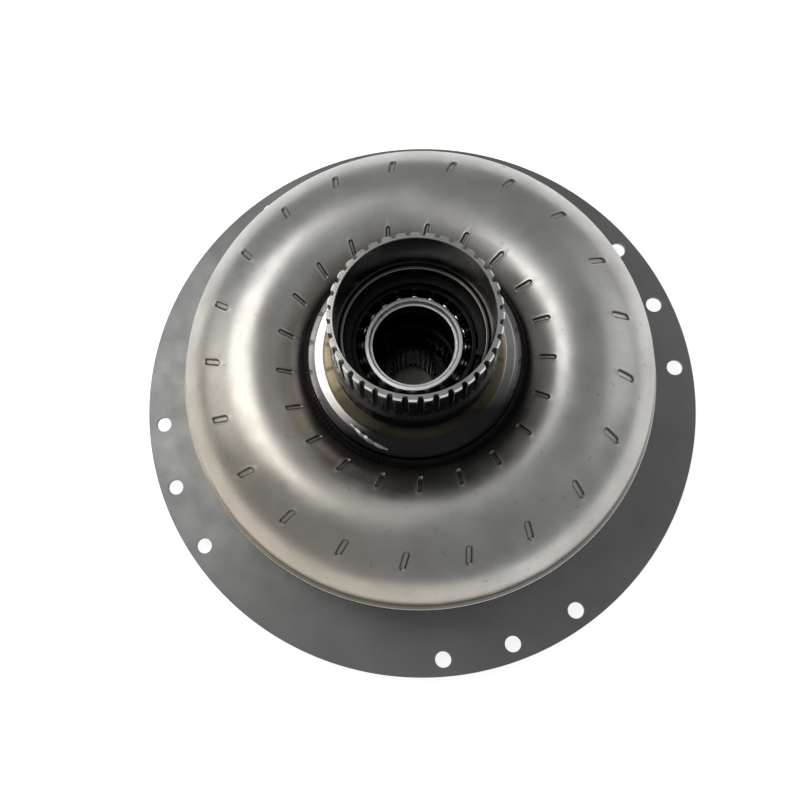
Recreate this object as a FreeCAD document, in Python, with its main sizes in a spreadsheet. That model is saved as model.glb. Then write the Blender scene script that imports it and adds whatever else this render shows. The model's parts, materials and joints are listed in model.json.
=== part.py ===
import FreeCAD, Part
import math
import os
import re
import Sketcher

# Torque converter with its flex plate, as a document of separate pieces.
# The axis of rotation is Z. The origin is on the axis, in the face of the flex
# plate that bolts to the engine's flywheel, and the gearbox side is towards +Z.
# Lengths are in millimetres and angles in degrees.

# Driving dimensions, one for each size that can be set by itself.
SIZES = {
    # flex plate and its fixings
    "plate_radius": 208.0,
    "plate_thickness": 3.0,
    "plate_bore": 70.0,
    "plate_hole_margin": 12.0,
    "plate_hole_radius": 5.75,
    "plate_hole_step": 15.0,
    "boss_circle": 100.0,
    "boss_radius": 14.0,
    "boss_height": 27.0,
    "boss_count": 8,
    "screw_radius": 5.0,
    "screw_clearance": 0.5,
    "screw_engagement": 14.0,
    "screw_head_width": 16.0,
    "screw_head_height": 6.4,
    "clamp_thickness": 4.0,
    "clamp_margin": 14.0,
    "pilot_radius": 27.0,
    "pilot_reach": 14.0,
    "pilot_foot_radius": 36.0,
    "pilot_foot_height": 6.0,
    # front cover and pump shell
    "shell_radius": 156.5,
    "torus_inset": 3.75,
    "shoulder_radius": 36.0,
    "shell_height": 43.0,
    "shell_thickness": 3.0,
    "shell_skirt": 7.0,
    "cover_depth": 52.0,
    "cover_thickness": 4.0,
    "cover_corner": 32.0,
    "spigot_thickness": 2.0,
    "rim_weld_gap": 4.0,
    "rim_weld_crown": 4.0,
    "dimple_count": 21,
    "dimple_depth": 1.0,
    "outer_dimple_offset": 22.6,
    "outer_dimple_length": 13.0,
    "outer_dimple_width": 5.0,
    "outer_dimple_phase": 119.75,
    "inner_dimple_offset": 16.0,
    "inner_dimple_length": 11.6,
    "inner_dimple_width": 3.0,
    "inner_dimple_phase": 125.0,
    "dimple_slant": 12.0,
    # pump and turbine wheels
    "pump_blade_count": 21,
    "turbine_blade_count": 23,
    "blade_thickness": 1.2,
    "blade_lean": 9.0,
    "inlet_margin": 5.0,
    "core_radius": 16.0,
    "core_thickness": 1.5,
    "wheel_gap": 1.5,
    "turbine_setback": 2.0,
    "turbine_thickness": 2.0,
    "rim_clearance": 1.5,
    # impeller hub and its weld
    "hub_rise": 22.0,
    "collar_step": 16.5,
    "collar_height": 17.335,
    "collar_skirt": 4.0,
    "collar_wall": 5.0,
    "weld_leg": 6.0,
    "weld_rise": 9.5,
    "neck_wall": 10.5,
    "neck_fillet": 9.0,
    "seat_lip": 2.0,
    "tooth_start": 51.0,
    "hub_length": 92.0,
    "tooth_drop": 1.5,
    "tooth_depth": 2.7,
    "tooth_gap": 3.0,
    "tooth_count": 36,
    "tooth_phase": 7.7,
    "counterbore_step": 1.5,
    "counterbore_length": 14.05,
    "tip_bore_step": 4.7,
    # hub ball bearing
    "bearing_seat": 22.0,
    "bearing_bore": 25.0,
    "bearing_outer": 40.0,
    "bearing_width": 16.0,
    "bearing_land": 2.7,
    "bearing_chamfer": 1.0,
    "ball_radius": 4.0,
    "ball_count": 20,
    "ball_clearance": 0.1,
    "cage_clearance": 0.8,
    "cage_rim": 0.4,
    "clip_thickness": 1.75,
    "clip_depth": 3.0,
    "clip_width": 4.4,
    "clip_play": 0.1,
    "clip_opening": 24.0,
    # thrust needle bearings
    "race_thickness": 1.0,
    "needle_space": 3.0,
    "needle_play": 0.05,
    "needle_count": 36,
    "needle_margin": 1.5,
    "turbine_race_inner": 28.0,
    "turbine_race_outer": 40.0,
    "stator_race_width": 12.0,
    "stator_race_margin": 1.0,
    # turbine hub
    "turbine_stub_radius": 41.0,
    "turbine_flange": 6.0,
    "turbine_flange_radius": 62.0,
    "turbine_boss": 4.0,
    "turbine_boss_radius": 46.0,
    "turbine_nose": 16.0,
    "turbine_nose_radius": 18.5,
    "shaft_spline_tip": 14.4,
    "shaft_spline_root": 16.0,
    "shaft_spline_count": 24,
    "rivet_margin": 5.0,
    "rivet_radius": 2.5,
    "rivet_head_radius": 4.2,
    "rivet_head_height": 2.0,
    "rivet_count": 12,
    "turbine_shell_play": 4.0,
    # stator and freewheel
    "axial_play": 0.1,
    "washer_thickness": 4.0,
    "washer_inner": 28.0,
    "washer_outer": 42.0,
    "stator_core_gap": 1.5,
    "stator_ring_thickness": 2.5,
    "stator_ring_height": 24.0,
    "stator_lip": 2.5,
    "stator_foot": 1.0,
    "stator_blade_count": 15,
    "stator_chord": 26.0,
    "stator_camber": 6.0,
    "stator_blade_thickness": 3.2,
    "side_plate": 4.0,
    "side_plate_bore": 27.5,
    "freewheel_width": 22.8,
    "freewheel_play": 0.1,
    "outer_race_wall": 10.0,
    "roller_space": 5.0,
    "inner_race_radius": 33.0,
    "roller_radius": 4.0,
    "roller_clearance": 0.05,
    "roller_count": 10,
    "ramp_slope": 0.06,
    "spring_length": 5.0,
    "spring_leaf": 0.4,
    "ring_clip_thickness": 1.6,
    "ring_clip_depth": 1.8,
    "ring_clip_width": 4.0,
    "stator_spline_tip": 24.5,
    "stator_spline_root": 26.0,
    "stator_spline_count": 28,
}

# Sizes and levels that follow from the driving dimensions.
FOLLOWS = {
    # radii, from the hub bearing outwards to the shell and its wheels
    "plate_hole_circle": "plate_radius - plate_hole_margin",
    "neck_radius": "bearing_outer + neck_wall",
    "hub_bore": "bearing_outer - seat_lip",
    "counterbore": "bearing_outer + counterbore_step",
    "tip_bore": "bearing_outer + tip_bore_step",
    "tooth_tip": "neck_radius - tooth_drop",
    "tooth_root": "tooth_tip - tooth_depth",
    "collar_radius": "neck_radius + collar_step",
    "collar_recess": "collar_radius - collar_wall",
    "torus_radius": "(collar_radius + shell_radius) / 2 - torus_inset",
    "outer_dimple_circle": "torus_radius + outer_dimple_offset",
    "inner_dimple_circle": "collar_radius + inner_dimple_offset",
    "inlet_radius": "collar_radius + inlet_margin",
    "stator_hub_radius": "collar_recess",
    "stator_race_outer": "collar_recess - stator_race_margin",
    "stator_race_inner": "stator_race_outer - stator_race_width",
    "stator_ring_radius": "torus_radius - core_radius - stator_ring_thickness"
                          " - stator_core_gap",
    "race_bore": "inner_race_radius + roller_space",
    "stator_bore": "race_bore + outer_race_wall",
    "rivet_circle": "turbine_flange_radius - rivet_margin",
    "turbine_shell_bore": "turbine_boss_radius + turbine_shell_play",
    # the outer arc of the shell is a shoulder arc and a crown arc that meet in a tangent
    "shoulder_circle": "shell_radius - shoulder_radius",
    "shoulder_offset": "shoulder_circle - torus_radius",
    "crown_radius": "(shoulder_offset * shoulder_offset + shell_height * shell_height"
                    " - shoulder_radius * shoulder_radius)"
                    " / (2 * (shell_height - shoulder_radius))",
    "tangent_across": "shoulder_offset / (crown_radius - shoulder_radius)",
    "tangent_up": "(crown_radius - shell_height) / (crown_radius - shoulder_radius)",
    # front cover
    "cover_outside": "plate_thickness + boss_height",
    "cover_inside": "cover_outside + cover_thickness",
    "mid_level": "cover_outside + cover_depth",
    "crown_level": "mid_level + shell_height - crown_radius",
    "joint_radius": "shell_radius - shell_thickness",
    "skirt_end": "mid_level - shell_skirt",
    "spigot_start": "skirt_end - rim_weld_gap",
    # turbine
    "turbine_mid": "mid_level - turbine_setback",
    "turbine_crown_level": "turbine_mid - shell_height + crown_radius",
    "turbine_offset": "shell_thickness + spigot_thickness + rim_clearance",
    "turbine_inset": "turbine_offset + turbine_thickness",
    "turbine_base": "cover_inside + 2 * race_thickness + needle_space",
    "turbine_core_level": "turbine_mid - wheel_gap",
    "pump_core_level": "mid_level + wheel_gap",
    # stack that hangs from the hub: stator, freewheel, washer and turbine flange
    "hub_base": "mid_level + hub_rise",
    "stator_end": "hub_base - 2 * race_thickness - needle_space",
    "upper_plate_end": "stator_end - ring_clip_thickness - stator_lip",
    "freewheel_end": "upper_plate_end - side_plate",
    "freewheel_start": "freewheel_end - freewheel_width",
    "lower_plate_start": "freewheel_start - side_plate",
    "washer_start": "lower_plate_start - washer_thickness",
    "turbine_face": "washer_start - axial_play",
    "turbine_flange_end": "turbine_face - turbine_boss",
    "turbine_flange_start": "turbine_flange_end - turbine_flange",
    "stator_start": "lower_plate_start - ring_clip_thickness - stator_foot",
    "stator_middle": "(stator_start + stator_end) / 2",
    "roller_circle": "inner_race_radius + roller_radius + roller_clearance",
    # impeller hub
    "shell_edge": "crown_level + sqrt(crown_radius * crown_radius - (torus_radius"
                  " - collar_radius) * (torus_radius - collar_radius))",
    "collar_end": "shell_edge + collar_height",
    "hub_end": "hub_base + hub_length",
    "tooth_level": "hub_base + tooth_start",
    "bearing_start": "hub_base + bearing_seat",
    "bearing_end": "bearing_start + bearing_width",
    "bearing_middle": "bearing_start + bearing_width / 2",
    "pitch_radius": "(bearing_bore + bearing_outer) / 2",
    "cage_height": "2 * (ball_radius + ball_clearance + cage_rim)",
    "needle_radius": "needle_space / 2 - needle_play",
    "clip_groove_end": "bearing_end + clip_thickness + 2 * clip_play",
    "counterbore_end": "clip_groove_end + counterbore_length",
}

doc = FreeCAD.newDocument("TorqueConverter")
sheet = doc.addObject("Spreadsheet::Sheet", "sizes")
for row, (alias, number) in enumerate(SIZES.items(), start=1):
    sheet.set(f"A{row}", str(number))
    sheet.setAlias(f"A{row}", alias)
doc.recompute()

pieces = []


def linked(formula):
    """Expression in which each name of a size points at its cell in the sheet."""
    def replace(match):
        word = match.group(0)
        if word in FOLLOWS:
            return "(" + linked(FOLLOWS[word]) + ")"
        if word in SIZES:
            return "sizes." + word
        return word
    return re.sub(r"[a-z][a-z_]*", replace, str(formula))


def value(formula):
    """Number that a formula has now."""
    result = sheet.evalExpression(linked(formula))
    return float(getattr(result, "Value", result))


def bind(item, target, formula):
    """Tie a property of an object to a formula of the sheet."""
    item.setExpression(target, linked(formula))


def origin_item(body, role):
    """Plane or axis of a body's own origin."""
    return next(item for item in body.Origin.OriginFeatures if item.Role == role)


def new_body(label, keep=True):
    """Empty body of one piece, which may hold several separate solids."""
    body = doc.addObject("PartDesign::Body", "Body_" + label)
    body.Label = label
    body.AllowCompound = True
    if keep:
        pieces.append(body)
    return body


def new_sketch(body, plane, lift=None, turn=None):
    """Sketch on an origin plane of its body, moved along and turned about its normal."""
    sketch = body.newObject("Sketcher::SketchObject", "Sketch")
    sketch.AttachmentSupport = [(origin_item(body, plane), "")]
    sketch.MapMode = "FlatFace"
    if lift is not None:
        bind(sketch, "AttachmentOffset.Base.z", lift)
    if turn is not None:
        bind(sketch, "AttachmentOffset.Rotation.Angle", turn)
    return sketch


def arc_between(start, end, radius, left):
    """Arc of a given radius whose centre is left or right of the way from start to end."""
    chord = end - start
    middle = (start + end) * 0.5
    rise = math.sqrt(max(radius ** 2 - (chord.Length / 2) ** 2, 0.0))
    side = FreeCAD.Vector(-chord.y, chord.x, 0).normalize()
    centre = middle + side * (rise if left else -rise)
    first, last = (start, end) if left else (end, start)
    angles = [math.atan2(p.y - centre.y, p.x - centre.x) for p in (first, last)]
    circle = Part.Circle(centre, FreeCAD.Vector(0, 0, 1), radius)
    return Part.ArcOfCircle(circle, angles[0], angles[1])


def pin_point(sketch, index, corner, across, up):
    """Hold a point of a sketch at two formulas, measured from the sketch's origin."""
    for kind, target in (("DistanceX", across), ("DistanceY", up)):
        number = sketch.addConstraint(
            Sketcher.Constraint(kind, -1, 1, index, corner, value(target)))
        bind(sketch, f"Constraints[{number}]", target)


def draw_outline(sketch, outline):
    """Closed outline of points (across, up) or of arc ends (across, up, radius, side)."""
    spots = [FreeCAD.Vector(value(p[0]), value(p[1]), 0) for p in outline]
    corners = []
    for number, point in enumerate(outline):
        start, end = spots[number - 1], spots[number]
        if len(point) == 2:
            index = sketch.addGeometry(Part.LineSegment(start, end))
            corners.append((index, 1, 2))
        else:
            left = point[3] == "left"
            arc = arc_between(start, end, value(point[2]), left)
            index = sketch.addGeometry(arc)
            corners.append((index, 1, 2) if left else (index, 2, 1))
    for number, point in enumerate(outline):
        index, _, last = corners[number]
        after, begin, _ = corners[(number + 1) % len(corners)]
        sketch.addConstraint(Sketcher.Constraint("Coincident", index, last, after, begin))
        pin_point(sketch, index, last, point[0], point[1])
        if len(point) == 4:
            size = sketch.addConstraint(
                Sketcher.Constraint("Radius", index, value(point[2])))
            bind(sketch, f"Constraints[{size}]", point[2])


def draw_circle(sketch, across, up, radius):
    """Circle whose centre and radius follow formulas."""
    centre = FreeCAD.Vector(value(across), value(up), 0)
    circle = Part.Circle(centre, FreeCAD.Vector(0, 0, 1), value(radius))
    index = sketch.addGeometry(circle)
    pin_point(sketch, index, 3, across, up)
    size = sketch.addConstraint(Sketcher.Constraint("Radius", index, value(radius)))
    bind(sketch, f"Constraints[{size}]", radius)


def revolve(body, outline, cut=False):
    """Turn a (radius, level) outline about Z, adding to the body or cutting it."""
    sketch = new_sketch(body, "XZ_Plane")
    draw_outline(sketch, outline)
    kind = "PartDesign::Groove" if cut else "PartDesign::Revolution"
    feature = body.newObject(kind, "Turned")
    feature.Profile = sketch
    feature.ReferenceAxis = (sketch, ["V_Axis"])
    feature.Angle = 360
    doc.recompute()
    return feature


def extrude(body, sketch, length, cut=False, reverse=False):
    """Pad a sketch by a length, or cut it out of the body."""
    kind = "PartDesign::Pocket" if cut else "PartDesign::Pad"
    feature = body.newObject(kind, "Extruded")
    feature.Profile = sketch
    feature.Type = 0
    bind(feature, "Length", length)
    feature.Reversed = reverse
    doc.recompute()
    return feature


def polar(body, feature, count):
    """Repeat a feature evenly about Z."""
    pattern = body.newObject("PartDesign::PolarPattern", "Pattern")
    pattern.Originals = [feature]
    pattern.Axis = (origin_item(body, "Z_Axis"), [""])
    pattern.Angle = 360
    bind(pattern, "Occurrences", count)
    body.Tip = pattern
    doc.recompute()
    return pattern


def ring(label, inner, outer, bottom, top):
    """Plain ring of rectangular section."""
    body = new_body(label)
    revolve(body, [(inner, bottom), (outer, bottom), (outer, top), (inner, top)])
    return body


def pillar_set(label, circle, radius, bottom, length, count):
    """Upright round bars on a circle."""
    body = new_body(label)
    sketch = new_sketch(body, "XY_Plane", bottom)
    draw_circle(sketch, circle, "0", radius)
    polar(body, extrude(body, sketch, length), count)
    return body


def drill(body, circle, radius, bottom, length, count):
    """Round holes on a circle, cut upwards from a level."""
    sketch = new_sketch(body, "XY_Plane", bottom)
    draw_circle(sketch, circle, "0", radius)
    return polar(body, extrude(body, sketch, length, cut=True, reverse=True), count)


def crown_point(radius, level, inset, sign):
    """Level at which a radius meets a crown arc that lies an inset inside the shell's."""
    reach = f"(crown_radius - {inset})"
    away = f"(torus_radius - {radius})"
    return f"{level} {sign} sqrt({reach} * {reach} - {away} * {away})"


def tangent_point(level, inset, sign):
    """Point at which the shoulder arc and the crown arc meet, an inset inside the shell."""
    across = f"torus_radius + (crown_radius - {inset}) * tangent_across"
    up = f"{level} {sign} (crown_radius - {inset}) * tangent_up"
    return across, up


def make_flex_plate():
    """Flat disc with four groups of three holes for the flywheel screws."""
    body = ring("flex_plate", "plate_bore", "plate_radius", "0", "plate_thickness")
    drill(body, "boss_circle", "screw_radius + screw_clearance", "0", "plate_thickness",
          "boss_count")
    for group_angle in ("45 - plate_hole_step", "45", "45 + plate_hole_step"):
        sketch = new_sketch(body, "XY_Plane", "0")
        draw_circle(sketch, f"plate_hole_circle * cos(({group_angle}) * 1deg)",
                    f"plate_hole_circle * sin(({group_angle}) * 1deg)", "plate_hole_radius")
        polar(body, extrude(body, sketch, "plate_thickness", cut=True, reverse=True), "4")


def make_clamp_ring():
    """Ring under the plate that spreads the load of the screw heads."""
    body = ring("flex_clamp_ring", "boss_circle - clamp_margin", "boss_circle + clamp_margin",
                "0 - clamp_thickness", "0")
    drill(body, "boss_circle", "screw_radius + screw_clearance", "0 - clamp_thickness",
          "clamp_thickness", "boss_count")


def make_plate_screws():
    """Hexagon screws that hold the plate to the bosses of the cover."""
    body = new_body("flex_plate_bolts")
    sketch = new_sketch(body, "XY_Plane", "0 - clamp_thickness")
    draw_circle(sketch, "boss_circle", "0", "screw_radius")
    shank = extrude(body, sketch, "clamp_thickness + plate_thickness + screw_engagement")
    polar(body, shank, "boss_count")
    sketch = new_sketch(body, "XY_Plane", "0 - clamp_thickness")
    half = "screw_head_width / 2"
    side = "screw_head_width / 2 / cos(30deg)"
    draw_outline(sketch, [
        (f"boss_circle + {half}", f"({side}) / 2"), ("boss_circle", side),
        (f"boss_circle - {half}", f"({side}) / 2"),
        (f"boss_circle - {half}", f"0 - ({side}) / 2"), ("boss_circle", f"0 - {side}"),
        (f"boss_circle + {half}", f"0 - ({side}) / 2")])
    polar(body, extrude(body, sketch, "screw_head_height", reverse=True), "boss_count")


def make_cover_bosses():
    """Threaded bosses welded to the cover, on which the flex plate is screwed."""
    body = pillar_set("cover_bosses", "boss_circle", "boss_radius", "plate_thickness",
                      "boss_height", "boss_count")
    drill(body, "boss_circle", "screw_radius", "plate_thickness",
          "screw_engagement + screw_radius", "boss_count")


def make_front_cover():
    """Dished cover that closes the converter on the engine side."""
    body = new_body("front_cover")
    wall = "shell_radius - cover_thickness"
    bend = "shell_radius - cover_corner"
    inside_bend = "cover_corner - cover_thickness"
    revolve(body, [
        ("0", "cover_outside"), (bend, "cover_outside"),
        ("shell_radius", "cover_outside + cover_corner", "cover_corner", "left"),
        ("shell_radius", "spigot_start"), ("joint_radius", "spigot_start"),
        ("joint_radius", "mid_level"), ("joint_radius - spigot_thickness", "mid_level"),
        ("joint_radius - spigot_thickness", "spigot_start - cover_thickness"),
        (wall, "spigot_start - cover_thickness * 2"),
        (wall, "cover_outside + cover_corner"),
        (bend, "cover_inside", inside_bend, "right"), ("0", "cover_inside")])


def make_pilot_spigot():
    """Spigot that centres the converter in the end of the crankshaft."""
    body = new_body("pilot_spigot")
    edge = "pilot_foot_height / 3"
    revolve(body, [
        ("0", "0 - pilot_reach"), (f"pilot_radius - {edge}", "0 - pilot_reach"),
        ("pilot_radius", f"{edge} - pilot_reach"),
        ("pilot_radius", "cover_outside - pilot_foot_height"),
        ("pilot_foot_radius", "cover_outside - pilot_foot_height"),
        ("pilot_foot_radius", "cover_outside"), ("0", "cover_outside")])


def make_rim_weld():
    """Weld bead that joins the cover to the pump shell all the way round."""
    body = new_body("rim_weld")
    revolve(body, [
        ("joint_radius", "spigot_start"), ("shell_radius", "spigot_start"),
        ("shell_radius + rim_weld_crown", "(spigot_start + skirt_end) / 2"),
        ("shell_radius", "skirt_end"), ("joint_radius", "skirt_end")])


def make_pump_shell():
    """Pressed pump shell with a row of dimples over each end of its blades."""
    body = new_body("pump_shell")
    shoulder_in = "shoulder_radius - shell_thickness"
    crown_in = "crown_radius - shell_thickness"
    revolve(body, [
        ("joint_radius", "skirt_end"), ("shell_radius", "skirt_end"),
        ("shell_radius", "mid_level"),
        (*tangent_point("crown_level", "0", "+"), "shoulder_radius", "left"),
        ("collar_radius", crown_point("collar_radius", "crown_level", "0", "+"),
         "crown_radius", "left"),
        ("collar_radius", crown_point("collar_radius", "crown_level", "shell_thickness", "+")),
        (*tangent_point("crown_level", "shell_thickness", "+"), crown_in, "right"),
        ("joint_radius", "mid_level", shoulder_in, "right")])
    for row in ("outer", "inner"):
        cut_dimples(body, row)


def cut_dimples(body, row):
    """Row of slots pressed into the crown, square to its surface and slanted like the blades."""
    circle = f"{row}_dimple_circle"
    phase = f"{row}_dimple_phase"
    half = f"({row}_dimple_length - {row}_dimple_width) / 2"
    width = f"{row}_dimple_width / 2"
    tilt = f"asin(({circle} - torus_radius) / crown_radius)"
    reach = "(crown_radius - dimple_depth)"
    sketch = new_sketch(body, "XY_Plane")
    spin = FreeCAD.Rotation(FreeCAD.Vector(0, 0, 1), value(phase))
    lean = FreeCAD.Rotation(FreeCAD.Vector(0, 1, 0), value(tilt))
    slant = FreeCAD.Rotation(FreeCAD.Vector(0, 0, 1), -value("dimple_slant"))
    sketch.AttachmentOffset = FreeCAD.Placement(FreeCAD.Vector(), spin * lean * slant)
    out = f"torus_radius + {reach} * sin({tilt})"
    bind(sketch, "AttachmentOffset.Base.x", f"({out}) * cos({phase} * 1deg)")
    bind(sketch, "AttachmentOffset.Base.y", f"({out}) * sin({phase} * 1deg)")
    bind(sketch, "AttachmentOffset.Base.z", f"crown_level + {reach} * cos({tilt})")
    draw_outline(sketch, [
        (f"0 - {half}", f"0 - {width}", width, "left"), (half, f"0 - {width}"),
        (f"{half} + {width}", "0", width, "left"), (half, width, width, "left"),
        (f"0 - {half}", width), (f"0 - {half} - {width}", "0", width, "left")])
    pocket = extrude(body, sketch, "shell_thickness", cut=True, reverse=True)
    polar(body, pocket, "dimple_count")


def blade_set(label, count, lean, region):
    """Curved sheet blades cut to the shape of a turned region."""
    blank = new_body(label + "_blank", keep=False)
    sketch = new_sketch(blank, "XY_Plane", "cover_inside", "outer_dimple_phase")
    inside = "inlet_radius - blade_thickness"
    half = "blade_thickness / 2"
    bow = "2 * shell_radius"
    rise = f"(outer_dimple_circle - {inside}) * tan({lean} * 1deg)"
    fall = f"(shell_radius - outer_dimple_circle) * tan({lean} * 1deg)"
    draw_outline(sketch, [
        (inside, f"{rise} - {half}"),
        ("shell_radius", f"0 - {fall} - {half}", bow, "right"),
        ("shell_radius", f"{half} - {fall}"),
        (inside, f"{rise} + {half}", f"{bow} + blade_thickness", "left")])
    polar(blank, extrude(blank, sketch, "hub_end - cover_inside"), count)
    space = new_body(label + "_space", keep=False)
    revolve(space, region)
    blades = doc.addObject("Part::Common", "Common_" + label)
    blades.Label = label
    blades.Base = blank
    blades.Tool = space
    pieces.append(blades)


def make_pump_wheel():
    """Pump blades and the core ring that closes their inner edges."""
    core_top = "pump_core_level + core_radius"
    blade_set("pump_blades", "pump_blade_count", "blade_lean", [
        ("torus_radius + core_radius", "pump_core_level", "core_radius", "right"),
        (across_shoulder("pump_core_level", "mid_level", "shell_thickness"),
         "pump_core_level"),
        (*tangent_point("crown_level", "shell_thickness", "+"),
         "shoulder_radius - shell_thickness", "left"),
        ("inlet_radius", crown_point("inlet_radius", "crown_level", "shell_thickness", "+"),
         "crown_radius - shell_thickness", "left"),
        ("inlet_radius", core_top), ("torus_radius", core_top)])
    core_ring("pump_core_ring", "pump_core_level", "+")


def make_turbine_wheel():
    """Turbine blades and the core ring that closes their inner edges."""
    core_low = "turbine_core_level - core_radius"
    blade_set("turbine_blades", "turbine_blade_count", "(0 - blade_lean)", [
        ("torus_radius + core_radius", "turbine_core_level"),
        ("torus_radius", core_low, "core_radius", "right"), ("inlet_radius", core_low),
        ("inlet_radius", turbine_flat_top()),
        (flat_meets_crown(turbine_flat_top(), "turbine_inset"), turbine_flat_top()),
        (*tangent_point("turbine_crown_level", "turbine_inset", "-"),
         "crown_radius - turbine_inset", "left"),
        (across_shoulder("turbine_core_level", "turbine_mid", "turbine_inset"),
         "turbine_core_level", "shoulder_radius - turbine_inset", "left")])
    core_ring("turbine_core_ring", "turbine_core_level", "-")


def across_shoulder(level, centre_level, inset):
    """Radius at which a level meets a shoulder arc."""
    reach = f"(shoulder_radius - {inset})"
    rise = f"({level} - ({centre_level}))"
    return f"shoulder_circle + sqrt({reach} * {reach} - {rise} * {rise})"


def turbine_flat_top():
    """Level of the upper face of the turbine shell's flat middle."""
    return "turbine_flange_end + turbine_thickness"


def flat_meets_crown(level, inset):
    """Radius at which the flat middle of the turbine shell meets its crown arc."""
    reach = f"(crown_radius - {inset})"
    rise = f"(turbine_crown_level - ({level}))"
    return f"torus_radius - sqrt({reach} * {reach} - {rise} * {rise})"


def core_ring(label, level, sign):
    """Half-round channel, open towards the middle of the converter."""
    body = new_body(label)
    side = "left" if sign == "+" else "right"
    other = "right" if sign == "+" else "left"
    inner = "core_radius - core_thickness"
    revolve(body, [
        ("torus_radius + core_radius", level),
        ("torus_radius", f"{level} {sign} core_radius", "core_radius", side),
        ("torus_radius - core_radius", level, "core_radius", side),
        (f"torus_radius - ({inner})", level),
        ("torus_radius", f"{level} {sign} ({inner})", inner, other),
        (f"torus_radius + {inner}", level, inner, other)])


def make_impeller_hub():
    """Hub welded into the pump shell, with the driving teeth at its end."""
    body = new_body("impeller_hub")
    chamfer = "neck_fillet / 2"
    groove = "bearing_outer + clip_depth"
    revolve(body, [
        ("hub_bore", "hub_base"), ("collar_recess", "hub_base"),
        ("collar_recess", "hub_base - collar_skirt"),
        ("collar_radius", "hub_base - collar_skirt"), ("collar_radius", "collar_end"),
        (f"collar_radius - {chamfer}", f"collar_end + {chamfer}"),
        ("neck_radius + neck_fillet * 0.75", f"collar_end + {chamfer}"),
        ("neck_radius", f"collar_end + {chamfer} + neck_fillet"),
        ("neck_radius", "tooth_level"), ("tooth_tip", "tooth_level"),
        ("tooth_tip", "hub_end"), ("tip_bore", "hub_end"),
        ("tip_bore", "counterbore_end"), ("counterbore", "counterbore_end"),
        ("counterbore", "clip_groove_end"), (groove, "clip_groove_end"),
        (groove, "bearing_end"), ("bearing_outer", "bearing_end"),
        ("bearing_outer", "bearing_start"), ("hub_bore", "bearing_start")])
    sketch = new_sketch(body, "XY_Plane", "tooth_level", "tooth_phase")
    half = "tooth_gap / 2"
    beyond = "tooth_tip + tooth_gap"
    draw_outline(sketch, [
        ("tooth_root", f"0 - {half}"), (beyond, f"0 - {half}"),
        (beyond, half), ("tooth_root", half)])
    gap = extrude(body, sketch, "hub_end - (tooth_level)", cut=True, reverse=True)
    polar(body, gap, "tooth_count")


def make_hub_weld():
    """Fillet weld between the pump shell and the collar of the hub."""
    body = new_body("hub_weld")
    foot = "collar_radius + weld_leg"
    corner = crown_point("collar_radius", "crown_level", "0", "+")
    revolve(body, [
        ("collar_radius", corner, "crown_radius", "left"),
        ("collar_radius", f"{corner} + weld_rise"),
        (foot, crown_point(f"({foot})", "crown_level", "0", "+"),
         "weld_leg + weld_rise", "right")])


def make_hub_bearing():
    """Deep-groove ball bearing that carries the gearbox shaft in the hub."""
    for label, seat, sign in (("hub_bearing_inner_ring", "bearing_bore", "+"),
                              ("hub_bearing_outer_ring", "bearing_outer", "-")):
        body = new_body(label)
        side, back = ("left", "-") if sign == "+" else ("right", "+")
        land = f"pitch_radius {back} bearing_land"
        track = "ball_radius + ball_clearance"
        drop = f"(pitch_radius - ({land}))"
        edge = f"sqrt(({track}) * ({track}) - {drop} * {drop})"
        revolve(body, [
            (seat, "bearing_start + bearing_chamfer"), (seat, "bearing_end - bearing_chamfer"),
            (f"{seat} {sign} bearing_chamfer", "bearing_end"), (land, "bearing_end"),
            (land, f"bearing_middle + {edge}"),
            (land, f"bearing_middle - {edge}", track, side),
            (land, "bearing_start"), (f"{seat} {sign} bearing_chamfer", "bearing_start")])
    make_balls()
    make_ball_cage()


def make_balls():
    """Balls of the hub bearing."""
    body = new_body("hub_bearing_balls")
    sketch = new_sketch(body, "XZ_Plane")
    draw_outline(sketch, [
        ("pitch_radius", "bearing_middle - ball_radius"),
        ("pitch_radius + ball_radius", "bearing_middle", "ball_radius", "left"),
        ("pitch_radius", "bearing_middle + ball_radius", "ball_radius", "left")])
    axis_line = sketch.addGeometry(Part.LineSegment(
        FreeCAD.Vector(value("pitch_radius"), value("bearing_start"), 0),
        FreeCAD.Vector(value("pitch_radius"), value("bearing_end"), 0)), True)
    pin_point(sketch, axis_line, 1, "pitch_radius", "bearing_start")
    pin_point(sketch, axis_line, 2, "pitch_radius", "bearing_end")
    ball = body.newObject("PartDesign::Revolution", "Ball")
    ball.Profile = sketch
    ball.ReferenceAxis = (sketch, ["Axis0"])
    ball.Angle = 360
    doc.recompute()
    polar(body, ball, "ball_count")


def make_ball_cage():
    """One-piece cage with a round pocket for each ball."""
    inner = "pitch_radius - bearing_land + cage_clearance"
    outer = "pitch_radius + bearing_land - cage_clearance"
    body = ring("hub_bearing_cage", inner, outer, "bearing_middle - cage_height / 2",
                "bearing_middle + cage_height / 2")
    sketch = new_sketch(body, "YZ_Plane")
    draw_circle(sketch, "0", "bearing_middle", "ball_radius + ball_clearance")
    pocket = extrude(body, sketch, "bearing_outer", cut=True, reverse=True)
    polar(body, pocket, "ball_count")


def snap_ring(label, outer, width, bottom, thickness):
    """Open spring ring that sits in a groove."""
    body = ring(label, f"{outer} - {width}", outer, bottom, f"{bottom} + {thickness}")
    sketch = new_sketch(body, "XY_Plane", bottom)
    spread = f"({outer}) * sin(clip_opening / 2 * 1deg)"
    draw_outline(sketch, [
        ("0", f"0 - {spread}"), (f"{outer} + {width}", f"0 - {spread}"),
        (f"{outer} + {width}", spread), ("0", spread)])
    body.Tip = extrude(body, sketch, thickness, cut=True, reverse=True)


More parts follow.
